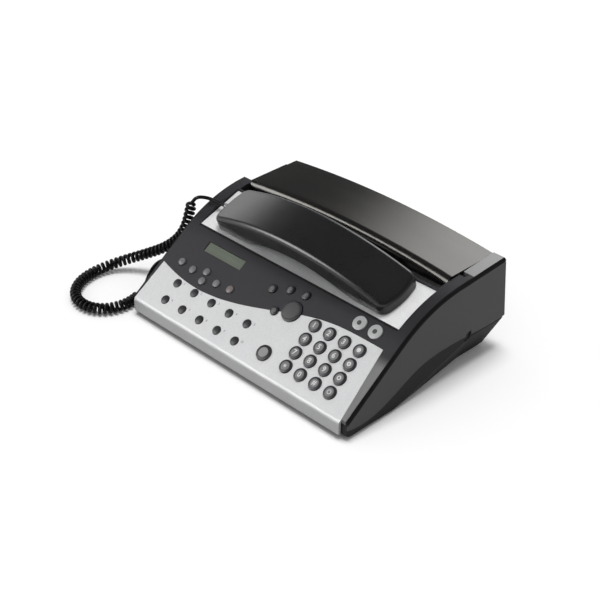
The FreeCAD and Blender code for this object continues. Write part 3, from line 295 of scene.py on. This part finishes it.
class Socket:
    """One output in a shader's node tree. Arithmetic on it adds Math nodes."""

    def __init__(self, tree, output):
        self.tree = tree
        self.output = output

    def node(self, kind, settings=None, values=None, output=0):
        """Adds a node of that kind: its settings first, then the values or links of its sockets."""
        made = self.tree.nodes.new(kind)
        for name, value in (settings or {}).items():
            setattr(made, name, value)
        for name, value in (values or {}).items():
            if isinstance(value, Socket):
                self.tree.links.new(value.output, made.inputs[name])
            else:
                made.inputs[name].default_value = value
        return Socket(self.tree, made.outputs[output]) if made.outputs else None

    def math(self, operation, first, second):
        return self.node("ShaderNodeMath", {"operation": operation}, {0: first, 1: second})

    def __add__(self, other):
        return self.math("ADD", self, other)

    def __radd__(self, other):
        return self.math("ADD", other, self)

    def __sub__(self, other):
        return self.math("SUBTRACT", self, other)

    def __rsub__(self, other):
        return self.math("SUBTRACT", other, self)

    def __mul__(self, other):
        return self.math("MULTIPLY", self, other)

    def __lt__(self, other):
        return self.math("LESS_THAN", self, other)

    def __gt__(self, other):
        return self.math("GREATER_THAN", self, other)

    def __mod__(self, other):
        return self.math("FLOORED_MODULO", self, other)

    def mix(self, first, second):
        """The colour between two, with this value as the share of the second."""
        return self.node("ShaderNodeMix", {"data_type": "RGBA"}, {0: self, 6: first, 7: second}, 2)

    def axis(self, name):
        """One coordinate of this place."""
        return self.node("ShaderNodeSeparateXYZ", None, {0: self}, name)

    def noise(self, size, detail=2.0):
        """Cloudy values from 0 to 1 whose spots are about that many metres across, at this place."""
        return self.node("ShaderNodeTexNoise", None, {"Vector": self, "Scale": 1 / size, "Detail": detail})

    def fade(self, low, high):
        """0 up to the low value and 1 past the high one, with a smooth change between them."""
        between = {"Value": self, "From Min": low, "From Max": high}
        return self.node("ShaderNodeMapRange", {"interpolation_type": "SMOOTHSTEP"}, between)

    def bump(self, strength, distance):
        """A normal that takes this value as the height of the surface."""
        return self.node("ShaderNodeBump", None, {"Strength": strength, "Distance": distance, "Height": self})


def rgba(colour, share=1.0):
    """A colour of three numbers, lightened or darkened by a share, with full alpha."""
    return tuple(min(1.0, part * share) for part in colour[:3]) + (1.0,)


def new_material(name):
    """An empty material, and the place on the surface in the object's own coordinates."""
    material = bpy.data.materials.new(name)
    material.use_nodes = True
    tree = material.node_tree
    tree.nodes.clear()
    place = tree.nodes.new("ShaderNodeTexCoord")
    return material, Socket(tree, place.outputs["Object"])


def shade(place, varying, constant):
    """Ends a material with a Principled shader: what varies comes by links, and the rest as plain numbers."""
    shader = place.node("ShaderNodeBsdfPrincipled", None, {**constant, **varying})
    place.node("ShaderNodeOutputMaterial", None, {"Surface": shader})


def moulded(place, grain):
    """The fine sparked grain of moulded plastic, its slow clouds, and the tone that both make."""
    fine = place.noise(grain, 3.0)
    slow = place.noise(CLOUD, 3.0)
    return fine, slow, slow * 0.7 + fine * 0.3


def grained_plastic(name, colour, grain=0.0006, roughness=0.5, relief=0.25, specular=0.5):
    """Moulded plastic: a fine sparked grain in the relief, with slow changes of tone and gloss."""
    material, place = new_material(name)
    fine, slow, tone = moulded(place, grain)
    varying = {
        "Base Color": tone.mix(rgba(colour, 0.8), rgba(colour, 1.2)),
        "Roughness": roughness - 0.08 + slow * 0.08 + fine * 0.08,
        "Normal": fine.bump(relief, 0.0001),
    }
    shade(place, varying, {"Specular IOR Level": specular})
    return material


def base_plastic(name, colour):
    """Grained plastic of the base; the skirt set in below the knee of its sides is rougher, and its colour is
    darkened as painted shade.
    """
    material, place = new_material(name)
    x = place.axis("X")
    z = place.axis("Z")
    skirt = (x * x < SKIRT_X * SKIRT_X) * (z < SKIRT_Z)
    fine, slow, tone = moulded(place, SHELL_GRAIN)
    wall = tone.mix(rgba(colour, 0.8), rgba(colour, 1.2))
    # Painted shade: the skirt's colour is cut to about a tenth of the wall's, standing in for the shade under
    # the drawn-in foot
    low = tone.mix(rgba(colour, 0.06), rgba(colour, 0.14))
    varying = {
        "Base Color": skirt.mix(wall, low),
        "Roughness": 0.44 + skirt * 0.25 + slow * 0.08 + fine * 0.08,
        "Normal": fine.bump(0.3, 0.0001),
    }
    shade(place, varying, {"Specular IOR Level": 0.4})
    return material


def top_plastic(name, colour):
    """Dark plastic of the top skin: black seams, a paler border by the keys, and a shiny right rail whose
    paler colour is a painted highlight.
    """
    material, place = new_material(name)
    x = place.axis("X")
    y = place.axis("Y")
    groove = (x * x < GROOVE_X * GROOVE_X) * (y > GROOVE_Y[0]) * (y < GROOVE_Y[1])
    seam = ((x * x > SEAM_X * SEAM_X) + groove) > 0.5
    border = (x > BORDER_X) * y.fade(BORDER_Y[1], BORDER_Y[0])
    # The right rail behind the notch: a glossy coat, and a pale colour that is a painted highlight
    rail = (x > RAIL_X) * (y > RAIL_Y) * (1 - seam)
    fine, slow, tone = moulded(place, SHELL_GRAIN)
    plain = tone.mix(rgba(colour, 0.8), rgba(colour, 1.2))
    # Pale grey of the border by the keys, and of the painted highlight on the rail
    pale = tone.mix(rgba((0.17,) * 3), rgba((0.22,) * 3))
    black = tone.mix(rgba(colour, 0.1), rgba(colour, 0.2))
    varying = {
        "Base Color": seam.mix((border + rail).mix(plain, pale), black),
        "Roughness": 0.42 + seam * 0.3 + slow * 0.08 + fine * 0.08,
        "Coat Weight": rail,
        "Normal": fine.bump(0.2, 0.0001),
    }
    shade(place, varying, {"Specular IOR Level": 0.26, "Coat Roughness": 0.15})
    return material


def silver_paint(name, colour):
    """Silver paint: flakes a third of a millimetre across of differing brightness, over a slow unevenness."""
    material, place = new_material(name)
    cells = place.node("ShaderNodeTexVoronoi", None, {"Vector": place, "Scale": 1 / 0.0007}, "Color")
    flake = cells.node("ShaderNodeSeparateColor", None, {"Color": cells}, "Red")
    slow = place.noise(0.04, 2.0)
    orange = place.noise(0.0022, 2.0)
    tone = flake * 0.55 + slow * 0.45
    varying = {
        "Base Color": tone.mix(rgba(colour, 0.9), rgba(colour, 1.1)),
        "Roughness": 0.4 + flake * 0.16,
        "Normal": (orange * 0.6 + flake * 0.4).bump(0.12, 0.0001),
    }
    shade(place, varying, {"Metallic": 0.15, "Specular IOR Level": 0.35})
    return material


def satin_plastic(name, colour, roughness):
    """Smooth satin plastic: faint flow marks along the moulding change its gloss over a fine texture."""
    material, place = new_material(name)
    drawn = place.node("ShaderNodeMapping", None, {"Vector": place, "Scale": (1.0, 6.0, 6.0)})
    flow = drawn.noise(0.09, 3.0)
    fine = place.noise(0.0005, 2.0)
    varying = {
        "Base Color": flow.mix(rgba(colour, 0.85), rgba(colour, 1.15)),
        "Roughness": roughness - 0.05 + flow * 0.06 + fine * 0.04,
        "Normal": fine.bump(0.08, 0.00005),
    }
    shade(place, varying, {"Specular IOR Level": 0.5, "Specular Tint": (1.0, 0.97, 0.91, 1.0)})
    return material


def display_screen(name, colour):
    """A liquid-crystal screen on the panel's slope: two rows of faint cells."""
    material, place = new_material(name)
    cosine = math.cos(PANEL_ANGLE)
    sine = math.sin(PANEL_ANGLE)
    moved = (0.0, -(PANEL_Y * cosine + PANEL_Z * sine), PANEL_Y * sine - PANEL_Z * cosine)
    turned = {"Vector": place, "Location": moved, "Rotation": (-PANEL_ANGLE, 0.0, 0.0)}
    flat = place.node("ShaderNodeMapping", None, turned)
    x = flat.axis("X")
    s = flat.axis("Y")
    cell_x = ((x - SCREEN_X) % CELL_PITCH[0]) > CELL_GAP[0]
    cell_s = ((s - SCREEN_S) % CELL_PITCH[1]) > CELL_GAP[1]
    dot_x = ((x - SCREEN_X) % DOT_PITCH) > DOT_GAP
    dot_s = ((s - SCREEN_S) % DOT_PITCH) > DOT_GAP
    cell = cell_x * cell_s * (0.5 + dot_x * dot_s * 0.5)
    slow = place.noise(0.02, 2.0)
    tone = slow * 0.6 + cell * 0.4
    varying = {
        "Base Color": tone.mix(rgba(colour, 1.15), rgba(colour, 0.8)),
        "Roughness": 0.14 + slow * 0.08,
    }
    shade(place, varying, {"Specular IOR Level": 0.5, "Coat Weight": 0.4, "Coat Roughness": 0.05})
    return material


def printed_board(name, colour):
    """A printed board: paler copper runs under the green lacquer, with tin dots at the leads."""
    material, place = new_material(name)
    bricks = {"Vector": place, "Scale": 60.0, "Mortar Size": 0.06, "Mortar Smooth": 0.2, "Brick Width": 0.4}
    run = place.node("ShaderNodeTexBrick", None, bricks, "Fac")
    dots = place.node("ShaderNodeTexVoronoi", None, {"Vector": place, "Scale": 220.0}, "Distance")
    dot = dots < 0.22
    lacquer = run.mix(rgba(colour), rgba(colour, 1.7))
    varying = {
        "Base Color": dot.mix(lacquer, (0.55, 0.55, 0.52, 1.0)),
        "Roughness": 0.42 - dot * 0.14,
        "Metallic": dot * 0.8,
        "Normal": (run * 0.5 + dot * 0.5).bump(0.3, 0.0001),
    }
    shade(place, varying, {})
    return material


def drawn_metal(name, colour, roughness):
    """Rolled or drawn metal: long fine scratches across the machine and a slow change of gloss."""
    material, place = new_material(name)
    drawn = place.node("ShaderNodeMapping", None, {"Vector": place, "Scale": (0.04, 1.0, 1.0)})
    scratch = drawn.noise(0.0003, 3.0)
    slow = place.noise(0.02, 2.0)
    varying = {
        "Base Color": slow.mix(rgba(colour, 0.9), rgba(colour, 1.1)),
        "Roughness": roughness - 0.1 + scratch * 0.14 + slow * 0.06,
        "Normal": scratch.bump(0.1, 0.00005),
    }
    shade(place, varying, {"Metallic": 1.0})
    return material


def soft_rubber(name, colour):
    """Ground rubber: a fine pitted relief, nearly matt."""
    material, place = new_material(name)
    pits = place.noise(0.0005, 4.0)
    slow = place.noise(0.015, 2.0)
    varying = {
        "Base Color": slow.mix(rgba(colour, 0.85), rgba(colour, 1.2)),
        "Roughness": 0.7 + pits * 0.2,
        "Normal": pits.bump(0.3, 0.0001),
    }
    shade(place, varying, {"Specular IOR Level": 0.35})
    return material


def rolled_paper(name, colour, middle):
    """A paper roll: fibres over its face, and fine rings of its layers round its axle on the ends."""
    material, place = new_material(name)
    shifted = {"Vector": place, "Location": (0.0, -middle[0], -middle[1])}
    round_axle = place.node("ShaderNodeMapping", None, shifted)
    rings = {"wave_type": "RINGS", "rings_direction": "X"}
    layer = round_axle.node("ShaderNodeTexWave", rings, {"Vector": round_axle, "Scale": 420.0}, "Fac")
    fibre = place.noise(0.0012, 4.0)
    tone = layer * 0.5 + fibre * 0.5
    varying = {
        "Base Color": tone.mix(rgba(colour, 0.9), rgba(colour)),
        "Roughness": 0.75 + fibre * 0.15,
        "Normal": fibre.bump(0.1, 0.0001),
    }
    shade(place, varying, {"Specular IOR Level": 0.3})
    return material


def clear_plastic(name, colour):
    """Clear smoky plastic of a small plug, a little uneven from moulding."""
    material, place = new_material(name)
    flow = place.noise(0.004, 2.0)
    varying = {
        "Base Color": flow.mix(rgba(colour, 0.85), rgba(colour, 1.1)),
        "Roughness": 0.12 + flow * 0.1,
    }
    shade(place, varying, {"Transmission Weight": 0.6, "IOR": 1.5})
    return material


def ink_and_highlight_paint(name, colour):
    """Pad-printed ink: dense, a little uneven and matt. The same flat paint makes the painted highlights on
    the keys.
    """
    material, place = new_material(name)
    spot = place.noise(0.0004, 2.0)
    varying = {
        "Base Color": spot.mix(rgba(colour, 0.9), rgba(colour, 1.08)),
        "Roughness": 0.5 + spot * 0.15,
    }
    shade(place, varying, {"Specular IOR Level": 0.4})
    return material


def colour_property(name, description, default):
    return bpy.props.FloatVectorProperty(
        name=name, description=description, default=default, subtype="COLOR", min=0.0, max=1.0, size=3
    )


class FaxColours(bpy.types.PropertyGroup):
    """Colours of the casing, keys and cord."""

    shell: colour_property("Base casing", "Dark grained plastic of the base", (0.04, 0.04, 0.041))
    top_shell: colour_property("Top casing", "Dark plastic of the top skin and rails", (0.021, 0.02, 0.023))
    panel: colour_property("Key panel", "Silver paint of the front panel", (0.63, 0.635, 0.64))
    cradle: colour_property("Cradle", "Silver paint under the handset", (0.88, 0.885, 0.89))
    cover: colour_property("Paper cover", "Satin plastic of the rear cover", (0.011, 0.0105, 0.01))
    handset: colour_property("Handset", "Black plastic of the handset", (0.013, 0.013, 0.014))
    dark_key: colour_property("Dark keys", "Gloss plastic of the number keys", (0.022, 0.022, 0.025))
    light_key: colour_property("Light keys", "Pale plastic of the small keys", (0.4, 0.405, 0.41))
    function_key: colour_property("Function keys", "Grey plastic of the function keys", (0.15, 0.15, 0.156))
    red_key: colour_property("Last function key", "Faintly red plastic", (0.155, 0.135, 0.132))
    screen: colour_property("Display", "Grey-green of the liquid crystal", (0.155, 0.175, 0.142))
    # Painted highlight: the grey discs on the number keys' crowned tops stand in for the highlights on them
    key_top: colour_property("Key tops", "Grey of the number keys' tops", (0.2, 0.2, 0.205))
    ink: colour_property("Legends", "Pale ink on the dark keys", (0.7, 0.7, 0.69))
    grey_ink: colour_property("Panel printing", "Grey ink on the silver panel", (0.24, 0.25, 0.27))
    cord: colour_property("Cord", "Black jacket of the curly cord", (0.004, 0.004, 0.0043))


class FaxSizes(bpy.types.PropertyGroup):
    """Sizes of the cord and the legends."""

    wire: bpy.props.FloatProperty(
        name="Wire", description="Thickness of the cord's jacket", default=0.0034, unit="LENGTH"
    )
    curl: bpy.props.FloatProperty(
        name="Curl", description="Radius of the curls at the wire's middle", default=0.0037, unit="LENGTH"
    )
    pitch: bpy.props.FloatProperty(
        name="Pitch", description="Distance from one curl to the next", default=0.0047, unit="LENGTH"
    )
    digit: bpy.props.FloatProperty(
        name="Digits", description="Height of the digits on the number keys", default=0.0068, unit="LENGTH"
    )
    # Radius of the painted highlight on each number key's top
    key_top: bpy.props.FloatProperty(
        name="Key tops", description="Radius of the number keys' grey tops", default=0.0042, unit="LENGTH"
    )
    # Also the thickness of the painted highlights on the number keys' tops
    ink: bpy.props.FloatProperty(
        name="Ink", description="How far the printing stands out", default=0.00006, unit="LENGTH"
    )


class FaxStage(bpy.types.PropertyGroup):
    """Camera and light."""

    azimuth: bpy.props.FloatProperty(
        name="Azimuth", description="Camera's turn", default=math.radians(45.59), subtype="ANGLE"
    )
    elevation: bpy.props.FloatProperty(
        name="Elevation", description="Camera's height angle", default=math.radians(32.77), subtype="ANGLE"
    )
    place: bpy.props.FloatVectorProperty(
        name="Camera", description="Camera's place", default=(0.79518, -0.79724, 0.75574), subtype="XYZ"
    )
    lens: bpy.props.FloatProperty(
        name="Lens", description="Focal length on a 36 mm sensor", default=88.42, unit="CAMERA"
    )
    sun: bpy.props.FloatProperty(
        name="Top light", description="Strength of the soft light overhead", default=2.0
    )
    spread: bpy.props.FloatProperty(
        name="Spread", description="Width of the top light", default=math.radians(26), subtype="ANGLE"
    )
    ambient: bpy.props.FloatProperty(
        name="Ambient", description="Even light from all round", default=0.54
    )
    bounce: bpy.props.FloatProperty(
        name="Bounce", description="Share of light that the floor throws back", default=0.3, subtype="FACTOR"
    )
    dusk: bpy.props.FloatProperty(
        name="Dusk", description="Dim sky that reflections show overhead", default=0.06
    )


def number_keys():
    """Every number key's node name, with its place on the panel."""
    places = {}
    for row in range(4):
        for column in range(4):
            x = NUMBER_X + NUMBER_PITCH_X * column
            s = NUMBER_S - NUMBER_PITCH_S * row
            places[f"number_key_{row + 1}_{column + 1}"] = (x, s, NUMBER_RADIUS)
    return places


class FAX_OT_stage(bpy.types.Operator):
    """Camera, floor, soft top light and the windows round it"""

    bl_idname = "fax.stage"
    bl_label = "Stage"

    def execute(self, context):
        scene = context.scene
        scene.view_settings.view_transform = "Standard"
        self.add_camera(scene, scene.fax_stage)
        self.add_floor(scene, scene.fax_stage)
        self.add_world(scene, scene.fax_stage)
        self.add_sun(scene, scene.fax_stage)
        return {"FINISHED"}

    def add_camera(self, scene, stage):
        camera = bpy.data.cameras.new("camera")
        camera.lens = stage.lens
        camera.sensor_width = SENSOR
        holder = bpy.data.objects.new("camera", camera)
        holder.location = stage.place
        holder.rotation_euler = (math.pi / 2 - stage.elevation, 0.0, stage.azimuth)
        scene.collection.objects.link(holder)
        scene.camera = holder

    def add_floor(self, scene, stage):
        """White paper to the eye and in reflections, and a dull grey to the light that it throws back."""
        material, place = new_material("floor")
        cloud = place.noise(0.4, 2.0)
        white = cloud.mix((0.97, 0.97, 0.97, 1.0), (0.985, 0.985, 0.985, 1.0))
        paper = place.node("ShaderNodeBsdfDiffuse", None, {"Color": white})
        dull = place.node("ShaderNodeBsdfDiffuse", None, {"Color": rgba((stage.bounce,) * 3)})
        seen = place.node("ShaderNodeLightPath", None, None, "Is Camera Ray")
        shine = place.node("ShaderNodeLightPath", None, None, "Is Glossy Ray")
        through = place.node("ShaderNodeLightPath", None, None, "Is Transmission Ray")
        shown = (seen + shine + through) > 0.5
        surface = place.node("ShaderNodeMixShader", None, {0: shown, 1: dull, 2: paper})
        place.node("ShaderNodeOutputMaterial", None, {"Surface": surface})
        corners = FLOOR_REACH * np.array([[-1, -1, 0], [1, -1, 0], [1, 1, 0], [-1, 1, 0]], dtype=float)
        corners[:, 2] = FLOOR_Z
        floor = add_piece("floor", corners, [(0, 1, 2, 3)], material, None)

    def add_world(self, scene, stage):
        """Even light all round, with a white horizon and soft windows that only reflections show."""
        world = bpy.data.worlds.new("studio")
        world.use_nodes = True
        tree = world.node_tree
        tree.nodes.clear()
        toward = Socket(tree, tree.nodes.new("ShaderNodeTexCoord").outputs["Generated"])
        height = toward.axis("Z")
        glow = stage.dusk + height.fade(*HORIZON) * (1.0 - stage.dusk)
        for middle, edge, core, brightness in WINDOWS:
            glow = glow + self.window(toward, middle, edge, core, brightness)
        shine = toward.node("ShaderNodeLightPath", None, None, "Is Glossy Ray")
        seen = toward.node("ShaderNodeLightPath", None, None, "Is Camera Ray")
        strength = shine * glow + seen + (1.0 - shine) * (1.0 - seen) * stage.ambient
        light = strength.node("ShaderNodeBackground", None, {"Strength": strength})
        light.node("ShaderNodeOutputWorld", None, {"Surface": light})
        scene.world = world

    def window(self, toward, middle, edge, core, brightness):
        """A round window in one direction: full within its core angle and fading to nothing at its edge."""
        unit = np.array(middle) / np.linalg.norm(middle)
        aligned = {0: toward, 1: tuple(unit)}
        facing = toward.node("ShaderNodeVectorMath", {"operation": "DOT_PRODUCT"}, aligned, "Value")
        return facing.fade(math.cos(math.radians(edge)), math.cos(math.radians(core))) * brightness

    def add_sun(self, scene, stage):
        sun = bpy.data.lights.new("top_light", "SUN")
        sun.energy = stage.sun
        sun.angle = stage.spread
        holder = bpy.data.objects.new("top_light", sun)
        holder.rotation_euler = SUN_TILT
        holder.visible_glossy = False
        scene.collection.objects.link(holder)


class FAX_OT_finishes(bpy.types.Operator):
    """Finish of every carried-over part"""

    bl_idname = "fax.finishes"
    bl_label = "Finishes"

    def execute(self, context):
        colours = context.scene.fax_colours
        by_slot = {
            "dark_shell": base_plastic("base_plastic", colours.shell),
            "silver_panel": silver_paint("panel_paint", colours.panel),
            "silver_cradle": silver_paint("cradle_paint", colours.cradle),
            "satin_cover": satin_plastic("cover_plastic", colours.cover, 0.22),
            "black_handset": grained_plastic("handset_plastic", colours.handset, 0.0005, 0.29, 0.02, 0.5),
            "dark_key": grained_plastic("dark_key_plastic", colours.dark_key, 0.0004, 0.4, 0.08, 0.32),
            "light_key": grained_plastic("light_key_plastic", colours.light_key, 0.0004, 0.38, 0.06, 0.5),
            "display_glass": display_screen("display_screen", colours.screen),
            "board_green": printed_board("board_lacquer", (0.03, 0.17, 0.07)),
            "black_moulding": grained_plastic("black_moulding", (0.02, 0.02, 0.02), 0.0006, 0.55, 0.25),
            "white_gear": grained_plastic("gear_nylon", (0.66, 0.66, 0.61), 0.0006, 0.45, 0.1),
            "steel": drawn_metal("plated_steel", (0.55, 0.56, 0.57), 0.34),
            "head_aluminium": drawn_metal("bare_aluminium", (0.62, 0.62, 0.64), 0.4),
            "roller_rubber": soft_rubber("roller_rubber", (0.04, 0.04, 0.042)),
            "paper": rolled_paper("fax_paper", (0.86, 0.86, 0.83), ROLL_AXLE),
            "foot_rubber": soft_rubber("foot_rubber", (0.025, 0.025, 0.025)),
            "cord_jacket": grained_plastic("jacket_under", colours.cord, 0.0006, 0.4, 0.1),
            "clear_plug": clear_plastic("plug_plastic", (0.32, 0.33, 0.34)),
        }
        grey = grained_plastic("function_key_plastic", colours.function_key, 0.0004, 0.42, 0.06, 0.4)
        own = {f"function_key_{number}": grey for number in range(1, 6)}
        own["function_key_6"] = grained_plastic("red_key_plastic", colours.red_key, 0.0004, 0.42, 0.06, 0.4)
        own["upper_housing"] = top_plastic("top_plastic", colours.top_shell)
        slots = {part["node"]: part["material_slot"] for part in frame["record"]["subparts"]}
        for name, node in frame["nodes"].items():
            material = own.get(name) or by_slot[slots[name]]
            node.data.materials.clear()
            node.data.materials.append(material)
        return {"FINISHED"}


class FAX_OT_cord(bpy.types.Operator):
    """Curly handset cord"""

    bl_idname = "fax.cord"
    bl_label = "Cord"

    def execute(self, context):
        sizes = context.scene.fax_sizes
        line = self.wire_line(self.route_points(), sizes)
        points, faces = self.jacket(*line, sizes.wire / 2)
        colours = context.scene.fax_colours
        material = grained_plastic("cord_jacket", colours.cord, 0.0008, 0.45, 0.06, 0.14)
        cord = add_piece("curly_cord", points, faces, material, None)
        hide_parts("handset_cord")
        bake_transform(cord)
        return {"FINISHED"}

    def route_points(self):
        """The cord's middle line, read from a NURBS spline that has the route's points as its controls."""
        curve = bpy.data.curves.new("cord_route", "CURVE")
        curve.dimensions = "3D"
        curve.resolution_u = 20
        spline = curve.splines.new("NURBS")
        spline.points.add(len(CORD_ROUTE) - 1)
        controls = np.ones((len(CORD_ROUTE), 4))
        controls[:, :3] = CORD_ROUTE
        spline.points.foreach_set("co", controls.ravel())
        spline.order_u = 3
        spline.use_endpoint_u = True
        return outline_of(curve)[0]

    def wire_line(self, middle, sizes):
        """The wire's own line: a circle of the curl's radius that turns once a pitch along the middle line.

        The radius grows from nothing at the lead and shrinks again at the tail, so both ends run straight.
        """
        run = np.concatenate([[0.0], np.cumsum(np.linalg.norm(np.diff(middle, axis=0), axis=1))])
        at = np.linspace(0.0, run[-1], CORD_STEPS)
        centre = np.stack([np.interp(at, run, middle[:, axis]) for axis in range(3)], axis=-1)
        along = np.gradient(centre, at, axis=0)
        along /= np.linalg.norm(along, axis=1)[:, None]
        side = np.cross(along, CORD_UP)
        side /= np.linalg.norm(side, axis=1)[:, None]
        up = np.cross(side, along)
        curled = np.clip(at - CORD_LEAD, 0.0, run[-1] - CORD_LEAD - CORD_TAIL)
        turn = 2 * math.pi * curled / sizes.pitch
        ends = np.minimum(at - CORD_LEAD, run[-1] - CORD_TAIL - at)
        grown = np.clip(ends / sizes.pitch, 0.0, 1.0)
        radius = sizes.curl * grown * grown * (3 - 2 * grown)
        outward = np.cos(turn)[:, None] * side + np.sin(turn)[:, None] * up
        return centre + radius[:, None] * outward, outward

    def jacket(self, path, outward, radius, sides=12):
        """A round tube: a circle square to the wire's line, carried along it."""
        along = np.gradient(path, axis=0)
        along /= np.linalg.norm(along, axis=1)[:, None]
        first = outward - (outward * along).sum(axis=1)[:, None] * along
        first /= np.linalg.norm(first, axis=1)[:, None]
        second = np.cross(along, first)
        angle = np.linspace(0, 2 * math.pi, sides, endpoint=False)
        across = np.cos(angle)[None, :, None] * first[:, None]
        upward = np.sin(angle)[None, :, None] * second[:, None]
        return path[:, None] + radius * (across + upward), tube_faces(len(path), sides)


class FAX_OT_number_legends(bpy.types.Operator):
    """Digits and signs on the number keys, and a grey disc of painted highlight on each key's top"""

    bl_idname = "fax.number_legends"
    bl_label = "Number legends"

    def execute(self, context):
        sizes = context.scene.fax_sizes
        ink = ink_and_highlight_paint("legend_ink", context.scene.fax_colours.ink)
        grey = ink_and_highlight_paint("key_top_grey", context.scene.fax_colours.key_top)
        disc = lens(KEY_HIGHLIGHT_HOLE, sizes.key_top, sizes.ink)
        for name, key in number_keys().items():
            row, column = (int(part) - 1 for part in name.split("_")[2:])
            legend = name.replace("number_key", "number_legend")
            if column < 3:
                flat, faces = lettering(NUMBER_LEGENDS[row][column], sizes.digit, DIGIT_WEIGHT, DIGIT_DEPTH)
                x, s, radius = key
                raised = flat + np.array([x, s, KEY_HEIGHT + 2 * sizes.ink])
                add_piece(legend, on_panel(raised), faces, ink, name, False)
            else:
                ring = lens(COLUMN_MARKS[row], COLUMN_MARK_RADIUS, 2 * sizes.ink)
                add_piece(legend, on_crown(ring, key), lens_faces(ring, row > 0), ink, name)
            # A grey disc on the key's crown: a painted highlight
            top = name.replace("number_key", "number_highlight")
            add_piece(top, on_crown(disc, key), lens_faces(disc, False), grey, name)
        return {"FINISHED"}


class FAX_OT_key_marks(bpy.types.Operator):
    """Marks and painted highlights on the single keys"""

    bl_idname = "fax.key_marks"
    bl_label = "Key marks"

    def execute(self, context):
        thickness = context.scene.fax_sizes.ink
        tones = {tone for radius, tone in KEY_MARKS_AND_HIGHLIGHTS.values()}
        mark_and_highlight_inks = {tone: ink_and_highlight_paint(f"key_mark_and_highlight_{round(100 * tone)}", (tone,) * 3) for tone in sorted(tones)}
        # Each disc is a mark, except on the start, clear and menu keys, where it is a painted highlight
        for name, (radius, tone) in KEY_MARKS_AND_HIGHLIGHTS.items():
            disc = lens(radius / 8, radius, thickness)
            placed = on_crown(disc, MARKED_KEYS[name])
            add_piece(name + "_mark_and_highlight", placed, lens_faces(disc, False), mark_and_highlight_inks[tone], name)
        return {"FINISHED"}


class FAX_OT_panel_printing(bpy.types.Operator):
    """Small numbers beside the one-touch keys"""

    bl_idname = "fax.panel_printing"
    bl_label = "Panel printing"

    def execute(self, context):
        sizes = context.scene.fax_sizes
        ink = ink_and_highlight_paint("panel_ink", context.scene.fax_colours.grey_ink)
        points = []
        faces = []
        count = 0
        for row, s in enumerate(TOUCH_ROWS):
            for column in range(5):
                words = str(row * 5 + column + 1)
                flat, cut = lettering(words, TOUCH_NUMBER_SIZE, TOUCH_NUMBER_WEIGHT, sizes.ink)
                x = TOUCH_X + TOUCH_PITCH * column
                flat = flat + np.array([x + TOUCH_NUMBER_SHIFT[0], s + TOUCH_NUMBER_SHIFT[1], sizes.ink])
                points.append(on_panel(flat))
                faces.extend([[corner + count for corner in face] for face in cut])
                count += len(flat)
        add_piece("touch_numbers", np.concatenate(points), faces, ink, "chassis", False)
        return {"FINISHED"}


class FAX_PT_sidebar(bpy.types.Panel):
    """Fax machine tools in the sidebar"""

    bl_idname = "FAX_PT_sidebar"
    bl_label = "Fax machine"
    bl_space_type = "VIEW_3D"
    bl_region_type = "UI"
    bl_category = "Fax"

    def draw(self, context):
        for name in STEPS:
            self.layout.operator("fax." + name)
        for group in ("fax_colours", "fax_sizes", "fax_stage"):
            holder = getattr(context.scene, group)
            box = self.layout.box()
            for name in holder.__annotations__:
                box.prop(holder, name)


STEPS = ("stage", "cord", "finishes", "number_legends", "key_marks", "panel_printing")
CLASSES = (
    FaxColours,
    FaxSizes,
    FaxStage,
    FAX_OT_stage,
    FAX_OT_cord,
    FAX_OT_finishes,
    FAX_OT_number_legends,
    FAX_OT_key_marks,
    FAX_OT_panel_printing,
    FAX_PT_sidebar,
)


def register():
    for kind in CLASSES:
        bpy.utils.register_class(kind)
    bpy.types.Scene.fax_colours = bpy.props.PointerProperty(type=FaxColours)
    bpy.types.Scene.fax_sizes = bpy.props.PointerProperty(type=FaxSizes)
    bpy.types.Scene.fax_stage = bpy.props.PointerProperty(type=FaxStage)


def unregister():
    del bpy.types.Scene.fax_stage
    del bpy.types.Scene.fax_sizes
    del bpy.types.Scene.fax_colours
    for kind in reversed(CLASSES):
        bpy.utils.unregister_class(kind)


def main():
    register()
    bpy.ops.fax.stage()
    bpy.ops.fax.cord()
    bpy.ops.fax.finishes()
    bpy.ops.fax.number_legends()
    bpy.ops.fax.key_marks()
    bpy.ops.fax.panel_printing()


if __name__ == "__main__":
    main()
